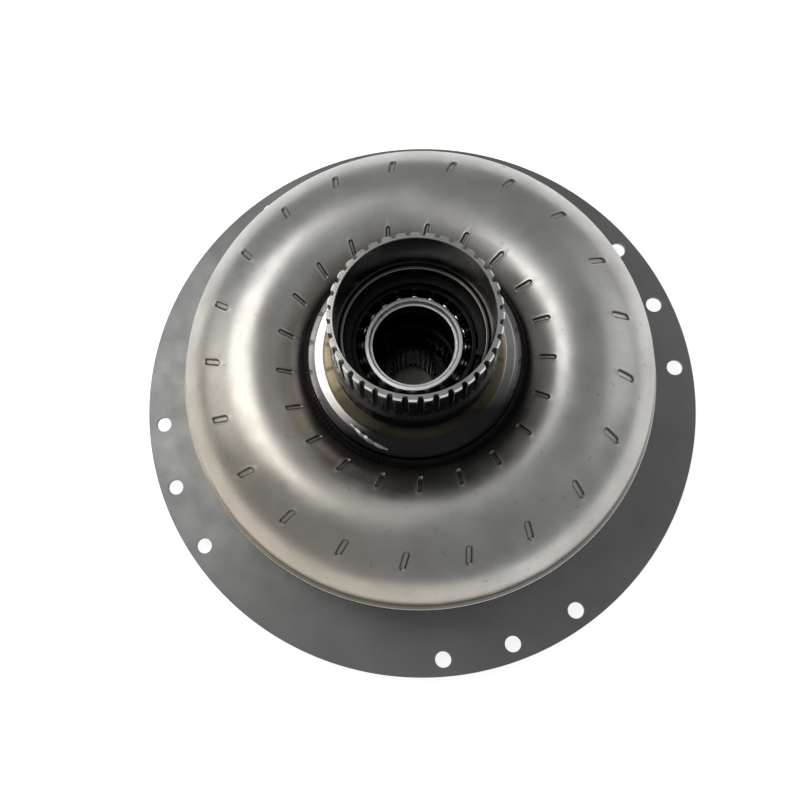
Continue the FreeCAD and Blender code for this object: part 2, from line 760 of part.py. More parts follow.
def needle_bearing(name, start, inner, outer):
    """Needles and the cage of a thrust bearing that lies on a level."""
    middle = f"{start} + race_thickness + needle_space / 2"
    reach = f"{outer} - ({inner}) - 2 * needle_margin"
    cage = ring(name + "_cage", inner, outer, f"{middle} - needle_radius / 2",
                f"{middle} + needle_radius / 2")
    for body, radius, cut in ((cage, "needle_radius + roller_clearance", True),
                              (new_body(name + "_needles"), "needle_radius", False)):
        margin = "roller_clearance" if cut else "0"
        sketch = new_sketch(body, "YZ_Plane", f"{inner} + needle_margin - {margin}")
        draw_circle(sketch, "0", middle, radius)
        row = extrude(body, sketch, f"{reach} + 2 * {margin}", cut=cut, reverse=cut)
        polar(body, row, "needle_count")


def make_thrust_bearings():
    """Thrust bearings under the turbine hub and over the stator."""
    for name, start, lower, upper in (
            ("turbine_bearing", "cover_inside", "turbine_race_inner", "turbine_race_outer"),
            ("stator_bearing", "stator_end", "stator_race_inner", "stator_race_outer")):
        ring(name + "_lower_race", lower, upper, start, f"{start} + race_thickness")
        top = f"{start} + race_thickness + needle_space"
        ring(name + "_upper_race", lower, upper, top, f"{top} + race_thickness")
        needle_bearing(name, start, lower, upper)


def make_turbine_shell():
    """Turbine shell, flat in the middle where it is riveted to the hub."""
    body = new_body("turbine_shell")
    low = "turbine_flange_end"
    high = turbine_flat_top()
    revolve(body, [
        ("turbine_shell_bore", low), (flat_meets_crown(low, "turbine_offset"), low),
        (*tangent_point("turbine_crown_level", "turbine_offset", "-"),
         "crown_radius - turbine_offset", "left"),
        ("shell_radius - turbine_offset", "turbine_mid",
         "shoulder_radius - turbine_offset", "left"),
        ("shell_radius - turbine_inset", "turbine_mid"),
        (*tangent_point("turbine_crown_level", "turbine_inset", "-"),
         "shoulder_radius - turbine_inset", "right"),
        (flat_meets_crown(high, "turbine_inset"), high,
         "crown_radius - turbine_inset", "right"),
        ("turbine_shell_bore", high)])
    drill(body, "rivet_circle", "rivet_radius", low, "turbine_thickness", "rivet_count")


def make_turbine_hub():
    """Turbine hub with the splines that drive the gearbox input shaft."""
    body = new_body("turbine_hub")
    revolve(body, [
        ("shaft_spline_tip", "turbine_base"), ("turbine_stub_radius", "turbine_base"),
        ("turbine_stub_radius", "turbine_flange_start"),
        ("turbine_flange_radius", "turbine_flange_start"),
        ("turbine_flange_radius", "turbine_flange_end"),
        ("turbine_boss_radius", "turbine_flange_end"),
        ("turbine_boss_radius", "turbine_face"), ("turbine_nose_radius", "turbine_face"),
        ("turbine_nose_radius", "turbine_face + turbine_nose"),
        ("shaft_spline_tip", "turbine_face + turbine_nose")])
    cut_splines(body, "shaft_spline_tip", "shaft_spline_root", "shaft_spline_count",
                "turbine_base", "turbine_face + turbine_nose - (turbine_base)")
    drill(body, "rivet_circle", "rivet_radius", "turbine_flange_start", "turbine_flange",
          "rivet_count")


def cut_splines(body, tip, root, count, bottom, length):
    """Straight-sided spaces between the internal splines of a bore."""
    sketch = new_sketch(body, "XY_Plane", bottom)
    half = f"{root} * sin(90deg / {count})"
    draw_outline(sketch, [
        (f"{tip} - ({root} - {tip})", f"0 - {half}"), (root, f"0 - {half}"),
        (root, half), (f"{tip} - ({root} - {tip})", half)])
    polar(body, extrude(body, sketch, length, cut=True, reverse=True), count)


def make_turbine_rivets():
    """Rivets through the turbine shell and the flange of its hub."""
    body = new_body("turbine_rivets")
    bottom = "turbine_flange_start - rivet_head_height"
    top = "turbine_flange_end + turbine_thickness"
    for level, radius, length in (
            ("turbine_flange_start", "rivet_radius", "turbine_flange + turbine_thickness"),
            (bottom, "rivet_head_radius", "rivet_head_height"),
            (top, "rivet_head_radius", "rivet_head_height")):
        sketch = new_sketch(body, "XY_Plane", level)
        draw_circle(sketch, "rivet_circle", "0", radius)
        polar(body, extrude(body, sketch, length), "rivet_count")


def make_stator_wheel():
    """Stator wheel: a hub ring, cambered blades and an outer ring in one casting."""
    body = new_body("stator_wheel")
    groove = "stator_bore + ring_clip_depth"
    revolve(body, [
        ("stator_bore", "stator_start"), ("stator_hub_radius", "stator_start"),
        ("stator_hub_radius", "stator_end"), ("stator_bore", "stator_end")])
    for level in ("lower_plate_start - ring_clip_thickness", "upper_plate_end"):
        revolve(body, [
            ("stator_bore - ring_clip_depth", level), (groove, level),
            (groove, f"{level} + ring_clip_thickness"),
            ("stator_bore - ring_clip_depth", f"{level} + ring_clip_thickness")], cut=True)
    revolve(body, [
        ("stator_ring_radius", "stator_middle - stator_ring_height / 2"),
        ("stator_ring_radius + stator_ring_thickness",
         "stator_middle - stator_ring_height / 2"),
        ("stator_ring_radius + stator_ring_thickness",
         "stator_middle + stator_ring_height / 2"),
        ("stator_ring_radius", "stator_middle + stator_ring_height / 2")])
    root = "stator_hub_radius - stator_blade_thickness"
    sketch = new_sketch(body, "YZ_Plane", root)
    nose = "stator_chord / 2"
    hollow = "(stator_chord * stator_chord / 4 + stator_camber * stator_camber)" \
             " / (2 * stator_camber)"
    back = "(stator_chord * stator_chord / 4 + (stator_camber + stator_blade_thickness)" \
           " * (stator_camber + stator_blade_thickness))" \
           " / (2 * (stator_camber + stator_blade_thickness))"
    draw_outline(sketch, [
        ("0", f"stator_middle - {nose}", hollow, "right"),
        ("0", f"stator_middle + {nose}", back, "left")])
    reach = f"stator_ring_radius + stator_ring_thickness / 2 - ({root})"
    polar(body, extrude(body, sketch, reach), "stator_blade_count")


def make_freewheel():
    """Roller freewheel that holds the stator one way and lets it turn the other."""
    level = "freewheel_start"
    race = ring("freewheel_outer_race", "race_bore", "stator_bore", level, "freewheel_end")
    sketch = new_sketch(race, "XY_Plane", level)
    wall = "0 - roller_radius - 6 * roller_clearance"
    roof = "roller_circle + roller_radius + 2 * roller_clearance"
    far = "roller_radius + spring_length + 8 * roller_clearance"
    draw_outline(sketch, [
        ("inner_race_radius", wall), (f"{roof} + ramp_slope * ({wall})", wall),
        (f"{roof} + ramp_slope * ({far})", far), ("inner_race_radius", far)])
    polar(race, extrude(race, sketch, "freewheel_width", cut=True, reverse=True),
          "roller_count")
    pillar_set("freewheel_rollers", "roller_circle", "roller_radius",
               f"{level} + freewheel_play", "freewheel_width - 2 * freewheel_play",
               "roller_count")
    make_freewheel_springs()
    ring("freewheel_lower_plate", "side_plate_bore", "stator_bore", "lower_plate_start", level)
    ring("freewheel_upper_plate", "side_plate_bore", "stator_bore", "freewheel_end",
         "upper_plate_end")
    make_inner_race()
    snap_ring("freewheel_lower_circlip", "stator_bore + ring_clip_depth", "ring_clip_width",
              "lower_plate_start - ring_clip_thickness", "ring_clip_thickness")
    snap_ring("freewheel_upper_circlip", "stator_bore + ring_clip_depth", "ring_clip_width",
              "upper_plate_end", "ring_clip_thickness")
    ring("stator_thrust_washer", "washer_inner", "washer_outer", "washer_start",
         "lower_plate_start")


def make_freewheel_springs():
    """Folded leaf springs that press the rollers up their ramps."""
    body = new_body("freewheel_springs")
    sketch = new_sketch(body, "XY_Plane", "freewheel_start + freewheel_play")
    low = "race_bore"
    high = "roller_circle + roller_radius - spring_leaf"
    start = "roller_radius + 2 * roller_clearance"
    fold = "(spring_length / 4)"
    outer_side = [
        (low, start), (high, f"{start} + {fold}"),
        (f"{low} + 2 * spring_leaf", f"{start} + 2 * {fold}"),
        (high, f"{start} + 3 * {fold}"), (low, f"{start} + 4 * {fold}")]
    inner_side = [
        (low, f"{start} + spring_leaf"), (f"{high} - 2 * spring_leaf", f"{start} + {fold}"),
        (low, f"{start} + 2 * {fold}"),
        (f"{high} - 2 * spring_leaf", f"{start} + 3 * {fold}"),
        (low, f"{start} + 4 * {fold} - spring_leaf")]
    draw_outline(sketch, outer_side + inner_side[::-1])
    polar(body, extrude(body, sketch, "freewheel_width - 2 * freewheel_play"),
          "roller_count")


def make_inner_race():
    """Inner race of the freewheel, splined to the fixed stator shaft."""
    low = "freewheel_start + freewheel_play"
    width = "freewheel_width - 2 * freewheel_play"
    body = ring("freewheel_inner_race", "stator_spline_tip", "inner_race_radius", low,
                f"{low} + {width}")
    cut_splines(body, "stator_spline_tip", "stator_spline_root", "stator_spline_count",
                low, width)


def export_pieces():
    """Check every object and every piece, then write one file for each piece."""
    doc.recompute()
    for item in doc.Objects:
        if {"Invalid", "Error"} & set(item.State):
            raise RuntimeError(f"{item.Label} did not build: {item.State}")
    for piece in pieces:
        if piece.Shape.isNull() or not piece.Shape.isValid() or not piece.Shape.Solids:
            raise RuntimeError(f"{piece.Label} has no valid solid")
    os.makedirs("parts", exist_ok=True)
    for piece in pieces:
        piece.Shape.exportStep(f"parts/{piece.Label}.step")
        print(f"{piece.Label}: {len(piece.Shape.Solids)} solids, "
              f"{piece.Shape.Volume / 1000:.2f} cm3")


make_flex_plate()
make_clamp_ring()
make_plate_screws()
make_cover_bosses()
make_front_cover()
make_pilot_spigot()
make_rim_weld()
make_pump_shell()
make_pump_wheel()
make_impeller_hub()
make_hub_weld()
make_hub_bearing()
snap_ring("hub_bearing_circlip", "bearing_outer + clip_depth - clip_play",
          "clip_width", "bearing_end + clip_play", "clip_thickness")
make_thrust_bearings()
make_turbine_shell()
make_turbine_wheel()
make_turbine_hub()
make_turbine_rivets()
make_stator_wheel()
make_freewheel()
export_pieces()
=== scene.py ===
import json
import logging
import math
from collections.abc import Callable, Sequence
from dataclasses import dataclass
from enum import Enum

import bmesh
import bpy
import numpy as np
from mathutils import Matrix, Vector


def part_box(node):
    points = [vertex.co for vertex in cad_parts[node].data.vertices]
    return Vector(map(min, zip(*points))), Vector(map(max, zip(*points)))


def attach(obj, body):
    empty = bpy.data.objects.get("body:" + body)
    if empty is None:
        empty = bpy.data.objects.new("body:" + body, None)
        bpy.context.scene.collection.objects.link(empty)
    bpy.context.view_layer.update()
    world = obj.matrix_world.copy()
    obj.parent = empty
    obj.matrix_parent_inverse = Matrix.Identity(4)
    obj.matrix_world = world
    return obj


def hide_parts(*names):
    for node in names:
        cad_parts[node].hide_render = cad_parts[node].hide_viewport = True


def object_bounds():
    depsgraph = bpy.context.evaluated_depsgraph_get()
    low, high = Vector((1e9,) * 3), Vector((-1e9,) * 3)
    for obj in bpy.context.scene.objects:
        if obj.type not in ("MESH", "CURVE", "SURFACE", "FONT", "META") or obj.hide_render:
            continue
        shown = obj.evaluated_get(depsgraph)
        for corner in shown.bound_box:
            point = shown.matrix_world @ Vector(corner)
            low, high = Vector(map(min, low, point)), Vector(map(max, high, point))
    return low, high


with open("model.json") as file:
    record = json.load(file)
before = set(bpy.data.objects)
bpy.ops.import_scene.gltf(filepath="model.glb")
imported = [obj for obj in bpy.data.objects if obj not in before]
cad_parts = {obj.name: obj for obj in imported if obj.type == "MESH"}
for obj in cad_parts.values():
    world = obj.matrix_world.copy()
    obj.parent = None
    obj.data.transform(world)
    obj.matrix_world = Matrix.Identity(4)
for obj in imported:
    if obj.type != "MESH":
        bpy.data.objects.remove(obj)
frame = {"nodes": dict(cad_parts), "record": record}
CAD_BOX = [list(corner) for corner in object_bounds()]

MM = 0.001
FULL_TURN = 2 * math.pi
Corner = tuple[float, float, float]
Warp = Callable[[np.ndarray, np.ndarray, np.ndarray], tuple[np.ndarray, ...]]
Piece = bpy.types.Object
Tree = bpy.types.NodeTree
Socket = bpy.types.NodeSocket
# Point attribute that carries painted shade along the dimple walls of the pump shell.
PAINTED_SHADE = "painted_shade"
log = logging.getLogger("torque_converter")


# ---------------------------------------------------------------- shapes

def levels(node: str) -> tuple[float, float]:
    """Lowest and highest level of a CAD node, in millimetres."""
    low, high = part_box(node)
    return low.z / MM, high.z / MM


def outer_radius(node: str) -> float:
    """Largest radius of a CAD node about the axis, in millimetres."""
    return float(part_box(node)[1].x / MM)


def even_angles(count: int) -> np.ndarray:
    """Evenly spaced angles of one turn."""
    return np.linspace(0, FULL_TURN, count, endpoint=False)


def rounded(corners: Sequence[Corner], steps: int = 4) -> list[tuple[float, float]]:
    """Outline whose corners are rounded.

    Args:
        corners: (radius, level, fillet) of each corner, in millimetres.
        steps: number of short edges in each fillet.

    Returns:
        Points (radius, level) of the closed outline.
    """
    path = []
    for number, (radius, level, fillet) in enumerate(corners):
        here = np.array((radius, level))
        if fillet <= 0:
            path.append((radius, level))
            continue
        before = np.array(corners[number - 1][:2]) - here
        after = np.array(corners[(number + 1) % len(corners)][:2]) - here
        before /= np.linalg.norm(before)
        after /= np.linalg.norm(after)
        half = math.acos(float(np.clip(before @ after, -1, 1))) / 2
        start = here + before * fillet / math.tan(half)
        middle = before + after
        centre = here + middle / np.linalg.norm(middle) * fillet / math.sin(half)
        first = math.atan2(start[1] - centre[1], start[0] - centre[0])
        sweep = math.pi - 2 * half
        if before[0] * after[1] - before[1] * after[0] > 0:
            sweep = -sweep
        for share in np.linspace(0, 1, steps + 1):
            angle = first + sweep * share
            path.append((centre[0] + fillet * math.cos(angle),
                         centre[1] + fillet * math.sin(angle)))
    return path


def arc(centre: tuple[float, float], radius: float, start: float, end: float,
        steps: int) -> list[tuple[float, float]]:
    """Points of an arc, from a start angle to an end angle in degrees."""
    turns = np.radians(np.linspace(start, end, steps + 1))
    return [(centre[0] + radius * math.cos(t), centre[1] + radius * math.sin(t))
            for t in turns]


def as_object(name: str, mesh: bpy.types.Mesh, crease: float = 32.0) -> Piece:
    """Object of a closed mesh, with merged points and faces that point outwards.

    Args:
        name: name of the piece.
        mesh: its mesh, already in its place.
        crease: edges that bend more than this many degrees stay sharp.

    Returns:
        The object, at the origin.
    """
    work = bmesh.new()
    work.from_mesh(mesh)
    bmesh.ops.remove_doubles(work, verts=work.verts, dist=1e-6)
    bmesh.ops.dissolve_degenerate(work, edges=work.edges, dist=1e-7)
    bmesh.ops.recalc_face_normals(work, faces=work.faces)
    work.to_mesh(mesh)
    work.free()
    mesh.polygons.foreach_set("use_smooth", [True] * len(mesh.polygons))
    mesh.set_sharp_from_angle(angle=math.radians(crease))
    piece = bpy.data.objects.new(name, mesh)
    bpy.context.scene.collection.objects.link(piece)
    return piece


def lathe(name: str, outline: Sequence[tuple[float, float]], angles: np.ndarray,
          warp: Warp | None = None, crease: float = 32.0) -> Piece:
    """Solid made by turning a closed outline about Z.

    Args:
        name: name of the piece.
        outline: points (radius, level) in millimetres, anticlockwise.
        angles: the angle of each column of points.
        warp: changes the radius, level and angle of every point of the grid, and may
        add how much painted shade lies on it.
        crease: edges that bend more than this many degrees stay sharp.

    Returns:
        The object of the turned piece.
    """
    points = np.array(outline, float)
    radius = points[:, 0][:, None] + np.zeros_like(angles)
    level = points[:, 1][:, None] + np.zeros_like(angles)
    angle = angles[None, :] + np.zeros_like(radius)
    painted_shade = None
    if warp is not None:
        radius, level, angle, *extra = warp(radius, level, angle)
        painted_shade = extra[0] if extra else None
    spots = around(radius, level, angle) * MM
    rows, columns = radius.shape
    row, column = np.meshgrid(np.arange(rows), np.arange(columns), indexing="ij")
    above, beside = (row + 1) % rows, (column + 1) % columns
    faces = np.stack([row * columns + column, row * columns + beside,
                      above * columns + beside, above * columns + column], -1)
    mesh = bpy.data.meshes.new(name)
    mesh.from_pydata(spots.reshape(-1, 3).tolist(), [], faces.reshape(-1, 4).tolist())
    if painted_shade is not None:
        layer = mesh.attributes.new(PAINTED_SHADE, "FLOAT", "POINT")
        layer.data.foreach_set("value", painted_shade.ravel())
    return as_object(name, mesh, crease)


def skin(name: str, sections: np.ndarray, crease: float = 32.0) -> Piece:
    """Solid whose skin runs along rows of section points and is closed at both ends.

    Args:
        name: name of the piece.
        sections: the points in millimetres, one row for each section.
        crease: edges that bend more than this many degrees stay sharp.

    Returns:
        The object of the piece.
    """
    rows, ring = sections.shape[:2]
    faces = [(row * ring + side, row * ring + (side + 1) % ring,
              (row + 1) * ring + (side + 1) % ring, (row + 1) * ring + side)
             for row in range(rows - 1) for side in range(ring)]
    last = (rows - 1) * ring
    faces += [tuple(range(ring)), tuple(range(last, last + ring))]
    mesh = bpy.data.meshes.new(name)
    mesh.from_pydata((sections * MM).reshape(-1, 3).tolist(), [], faces)
    return as_object(name, mesh, crease)


def around(radius: np.ndarray, level: np.ndarray, angle: np.ndarray) -> np.ndarray:
    """Points (x, y, z) of radii, levels and angles about Z."""
    return np.stack([radius * np.cos(angle), radius * np.sin(angle), level], -1)


# ---------------------------------------------------------------- node trees

def add_node(tree: Tree, kind: str, inputs: dict | None = None,
             **settings: object) -> bpy.types.Node:
    """Add a node with its settings and links.

    Args:
        tree: the shader or geometry tree.
        kind: Blender's name of the node type.
        inputs: value or source socket of each input, by name or number.
        settings: properties of the node.

    Returns:
        The new node.
    """
    node = tree.nodes.new(kind)
    for name, value in settings.items():
        setattr(node, name, value)
    for key, value in (inputs or {}).items():
        if isinstance(value, Socket):
            tree.links.new(value, node.inputs[key])
        else:
            node.inputs[key].default_value = value
    return node


def reckon(tree: Tree, operation: str, *values: object) -> Socket:
    """Result of a math node on values or sockets."""
    return add_node(tree, "ShaderNodeMath", dict(enumerate(values)),
                    operation=operation).outputs[0]


def spread(tree: Tree, value: Socket, start: float, end: float, low: float = 0.0,
           high: float = 1.0) -> Socket:
    """Value that goes from low to high while the given one goes from start to end."""
    return add_node(tree, "ShaderNodeMapRange", {
        "Value": value, "From Min": start, "From Max": end, "To Min": low,
        "To Max": high}).outputs[0]


def geometry_tree(name: str, sizes: dict[str, str]) -> tuple:
    """Empty geometry tree with named inputs.

    Args:
        name: name of the tree.
        sizes: socket type of each input besides the geometry, by name.

    Returns:
        The tree, its input node and its output node.
    """
    tree = bpy.data.node_groups.new(name, "GeometryNodeTree")
    tree.interface.new_socket("Geometry", in_out="INPUT", socket_type="NodeSocketGeometry")
    for label, kind in sizes.items():
        tree.interface.new_socket(label, in_out="INPUT", socket_type=kind)
    tree.interface.new_socket("Geometry", in_out="OUTPUT", socket_type="NodeSocketGeometry")
    return tree, add_node(tree, "NodeGroupInput"), add_node(tree, "NodeGroupOutput")


def ring_tree() -> Tree:
    """Tree that repeats a piece evenly about Z."""
    tree, given, result = geometry_tree("repeat_about_axis", {
        "Count": "NodeSocketInt", "First Angle": "NodeSocketFloat",
        "Finish": "NodeSocketMaterial"})
    spots = add_node(tree, "GeometryNodePoints", {"Count": given.outputs["Count"]})
    step = reckon(tree, "DIVIDE", FULL_TURN, given.outputs["Count"])
    index = add_node(tree, "GeometryNodeInputIndex").outputs[0]
    turn = reckon(tree, "MULTIPLY_ADD", index, step, given.outputs["First Angle"])
    euler = add_node(tree, "ShaderNodeCombineXYZ", {"Z": turn})
    rotation = add_node(tree, "FunctionNodeEulerToRotation", {0: euler.outputs[0]})
    copies = add_node(tree, "GeometryNodeInstanceOnPoints", {
        "Points": spots.outputs[0], "Instance": given.outputs["Geometry"],
        "Rotation": rotation.outputs[0]})
    real = add_node(tree, "GeometryNodeRealizeInstances", {0: copies.outputs[0]})
    dressed = add_node(tree, "GeometryNodeSetMaterial", {
        "Geometry": real.outputs[0], "Material": given.outputs["Finish"]})
    tree.links.new(dressed.outputs[0], result.inputs[0])
    return tree


def plate_tree() -> Tree:
    """Tree that makes a flat ring with a round hole at each given point."""
    tree, given, result = geometry_tree("perforated_ring", {
        "Outer Radius": "NodeSocketFloat", "Bore Radius": "NodeSocketFloat",
        "Thickness": "NodeSocketFloat", "Finish": "NodeSocketMaterial"})
    rings = [add_node(tree, "GeometryNodeCurvePrimitiveCircle", {
        "Resolution": count, "Radius": given.outputs[size]}).outputs[0]
        for count, size in ((288, "Outer Radius"), (144, "Bore Radius"))]
    round_hole = add_node(tree, "GeometryNodeCurvePrimitiveCircle", {
        "Resolution": 48, "Radius": 1.0})
    size = add_node(tree, "GeometryNodeInputNamedAttribute", {"Name": "hole_radius"},
                    data_type="FLOAT")
    holes = add_node(tree, "GeometryNodeInstanceOnPoints", {
        "Points": given.outputs["Geometry"], "Instance": round_hole.outputs[0],
        "Scale": size.outputs[0]})
    real = add_node(tree, "GeometryNodeRealizeInstances", {0: holes.outputs[0]})
    lines = add_node(tree, "GeometryNodeJoinGeometry", {0: real.outputs[0]})
    for ring in rings:
        tree.links.new(ring, lines.inputs[0])
    face = add_node(tree, "GeometryNodeFillCurve", {0: lines.outputs[0]}, mode="NGONS")
    rise = add_node(tree, "ShaderNodeCombineXYZ", {"Z": given.outputs["Thickness"]})
    solid = add_node(tree, "GeometryNodeExtrudeMesh", {
        "Mesh": face.outputs[0], "Offset": rise.outputs[0], "Offset Scale": 1.0,
        "Individual": False})
    under = add_node(tree, "GeometryNodeFlipFaces", {0: face.outputs[0]})
    both = add_node(tree, "GeometryNodeJoinGeometry", {0: solid.outputs[0]})
    tree.links.new(under.outputs[0], both.inputs[0])
    closed = add_node(tree, "GeometryNodeMergeByDistance", {
        "Geometry": both.outputs[0], "Distance": 1e-6})
    again = add_node(tree, "GeometryNodeRealizeInstances", {0: closed.outputs[0]})
    dressed = add_node(tree, "GeometryNodeSetMaterial", {
        "Geometry": again.outputs[0], "Material": given.outputs["Finish"]})
    tree.links.new(dressed.outputs[0], result.inputs[0])
    return tree


def apply_modifiers(piece: Piece) -> bpy.types.Mesh:
    """Plain mesh of an object with its modifiers applied; the object is removed."""
    view = bpy.context.evaluated_depsgraph_get()
    mesh = bpy.data.meshes.new_from_object(piece.evaluated_get(view))
    bpy.data.objects.remove(piece)
    return mesh


def run_tree(piece: Piece, tree: Tree,
             sizes: dict[str, object], crease: float = 32.0,
             bevel: float = 0.0) -> Piece:
    """Shape a piece with a geometry tree and make the result a plain mesh.

    Args:
        piece: the object that the tree starts from, which is used up.
        tree: the geometry tree.
        sizes: value of each named input.
        crease: edges that bend more than this many degrees stay sharp.
        bevel: width of a bevel put on the sharp edges afterwards, in metres.

    Returns:
        The finished object, under the same name.
    """
    name = piece.name
    modifier = piece.modifiers.new("shape", "NODES")
    modifier.node_group = tree
    for item in tree.interface.items_tree:
        if item.item_type == "SOCKET" and item.in_out == "INPUT" and item.name in sizes:
            modifier[item.identifier] = sizes[item.name]
    if bevel > 0:
        edge = piece.modifiers.new("edges", "BEVEL")
        edge.width = bevel
        edge.segments = 2
        edge.limit_method = "ANGLE"
    mesh = apply_modifiers(piece)
    mesh.name = name
    finished = as_object(name, mesh, crease)
    finished.name = name
    return finished


# ---------------------------------------------------------------- finishes

def srgb(code: str) -> tuple[float, float, float, float]:
    """Linear colour of an sRGB hex code such as "#8A857C"."""
    parts = [int(code[k:k + 2], 16) / 255 for k in (1, 3, 5)]
    return (*(p / 12.92 if p <= 0.04045 else ((p + 0.055) / 1.055) ** 2.4
              for p in parts), 1.0)


def per_size(size: float) -> float:
    """Scale of a texture whose features are about so many millimetres across."""
    return 1 / (size * MM)


class TintAxis(Enum):
    """Direction along which banded colours change: heat colours, painted shade and painted
    highlights.
    """

    RADIUS = "radius"
    LEVEL = "level"


@dataclass(frozen=True)
class Tints:
    """Colours in bands: each stop is a place in millimetres, a colour and a strength."""

    axis: TintAxis
    stops: tuple[tuple[float, str, float], ...]
    wobble: float = 3.0


@dataclass(frozen=True)
class Metal:
    """Finish of a metal surface: two tones that mottle, grain, marks, heat colours and painted
    shade.
    """

    name: str
    light: str
    dark: str
    roughness: float
    metallic: float = 1.0
    mottle: float = 40.0
    grain: float = 0.9
    grain_height: float = 0.02
    smear: float = 0.12
    turned: float = 0.0
    turned_height: float = 0.01
    speck: str = "#3A332C"
    speck_share: float = 0.0
    tints: tuple[Tints, ...] = ()
    side: float | None = None
    side_color: str = "#A2947A"
    side_span: tuple[float, float] = (60.0, 160.0)
    side_share: float = 0.4
    side_top: float = 1000.0
    painted_shade: str | None = None

    def build(self) -> bpy.types.Material:
        """Material of this finish."""
        found = bpy.data.materials.get(self.name)
        if found is not None:
            return found
        material = bpy.data.materials.new(self.name)
        material.use_nodes = True
        tree = material.node_tree
        tree.nodes.clear()
        place = add_node(tree, "ShaderNodeTexCoord").outputs["Object"]
        color = self._tones(tree, place)
        color = self._heat_tints_and_painted_shade(tree, place, color)
        color, worn = self._specks(tree, place, color)
        shader = add_node(tree, "ShaderNodeBsdfPrincipled", {
            "Base Color": color, "Metallic": self.metallic,
            "Roughness": self._roughness(tree, place, worn),
            "Normal": self._surface(tree, place)})
        output = add_node(tree, "ShaderNodeOutputMaterial")
        tree.links.new(shader.outputs[0], output.inputs[0])
        return material

    def _noise(self, tree: Tree, place: Socket, size: float,
               detail: float = 4.0, rough: float = 0.55) -> Socket:
        """Noise whose features are about so many millimetres across."""
        return add_node(tree, "ShaderNodeTexNoise", {
            "Vector": place, "Scale": per_size(size), "Detail": detail,
            "Roughness": rough}).outputs[0]

    def _tones(self, tree: Tree,
               place: Socket) -> Socket:
        """Light and dark tone in soft patches."""
        patches = spread(tree, self._noise(tree, place, self.mottle, 6.0), 0.32, 0.68)
        return self._mix(tree, patches, srgb(self.dark), srgb(self.light))

    def _mix(self, tree: Tree, factor: object, first: object,
             second: object) -> Socket:
        """Mix of two colours."""
        node = add_node(tree, "ShaderNodeMix", data_type="RGBA")
        for socket, value in ((node.inputs[0], factor), (node.inputs[6], first),
                              (node.inputs[7], second)):
            if isinstance(value, Socket):
                tree.links.new(value, socket)
            else:
                socket.default_value = value
        return node.outputs[2]

    def _polar(self, tree: Tree,
               place: Socket) -> tuple:
        """Radius and level of a point, in metres, and its split coordinates."""
        split = add_node(tree, "ShaderNodeSeparateXYZ", {0: place})
        flat = add_node(tree, "ShaderNodeCombineXYZ", {
            "X": split.outputs["X"], "Y": split.outputs["Y"]})
        radius = add_node(tree, "ShaderNodeVectorMath", {0: flat.outputs[0]},
                          operation="LENGTH").outputs["Value"]
        return radius, split.outputs["Z"], split

    def _heat_tints_and_painted_shade(self, tree: Tree, place: Socket,
              color: Socket) -> Socket:
        """Oxide colours and painted shade in bands, a colour that grows towards one side, and
        painted shade from a point attribute.
        """
        radius, level, split = self._polar(tree, place)
        for bands in self.tints:
            source = radius if bands.axis is TintAxis.RADIUS else level
            color = self._bands(tree, place, color, bands, source)
        # Colour that grows towards one side: painted shade on the hub's front, a tan tint on
        # the shell.
        if self.side is not None:
            way = math.radians(self.side)
            along = reckon(tree, "MULTIPLY", split.outputs["X"], math.cos(way))
            across = reckon(tree, "MULTIPLY_ADD", split.outputs["Y"], math.sin(way), along)
            share = spread(tree, across, self.side_span[0] * MM, self.side_span[1] * MM,
                           high=self.side_share)
            below = reckon(tree, "LESS_THAN", level, self.side_top * MM)
            amount = reckon(tree, "MULTIPLY", share, below)
            color = self._mix(tree, amount, color, srgb(self.side_color))
        # Painted shade along the dimple walls, read from the point attribute.
        if self.painted_shade is not None:
            layer = add_node(tree, "ShaderNodeAttribute", attribute_name=PAINTED_SHADE)
            color = self._mix(tree, layer.outputs["Fac"], color, srgb(self.painted_shade))
        return color

    def _bands(self, tree: Tree, place: Socket,
               color: Socket, bands: Tints,
               source: Socket) -> Socket:
        """One set of colour bands laid over a colour."""
        first, last = bands.stops[0][0], bands.stops[-1][0]
        wobble = spread(tree, self._noise(tree, place, 14.0), 0.0, 1.0,
                        -bands.wobble * MM, bands.wobble * MM)
        moved = reckon(tree, "ADD", source, wobble)
        share = spread(tree, moved, first * MM, last * MM)
        tones = add_node(tree, "ShaderNodeValToRGB", {0: share})
        amounts = add_node(tree, "ShaderNodeValToRGB", {0: share})
        for ramp, pick in ((tones, lambda stop: srgb(stop[1])),
                           (amounts, lambda stop: (stop[2], stop[2], stop[2], 1.0))):
            elements = ramp.color_ramp.elements
            while len(elements) < len(bands.stops):
                elements.new(0.5)
            for element, stop in zip(elements, bands.stops):
                element.position = (stop[0] - first) / (last - first)
                element.color = pick(stop)
        return self._mix(tree, amounts.outputs[0], color, tones.outputs[0])

    def _specks(self, tree: Tree, place: Socket,
                color: Socket) -> tuple:
        """Small stains, and how much of each spot they take."""
        if self.speck_share <= 0:
            return color, None
        spots = spread(tree, self._noise(tree, place, 5.0, 8.0, 0.7),
                       0.62 - self.speck_share, 0.74)
        return self._mix(tree, spots, color, srgb(self.speck)), spots

    def _roughness(self, tree: Tree, place: Socket,
                   worn: Socket | None) -> Socket:
        """Roughness that varies as handling marks do."""
        smears = spread(tree, self._noise(tree, place, 22.0, 5.0, 0.6), 0.3, 0.7,
                        max(self.roughness - self.smear, 0.03), self.roughness + self.smear)
        return smears if worn is None else reckon(tree, "MULTIPLY_ADD", worn, 0.25, smears)

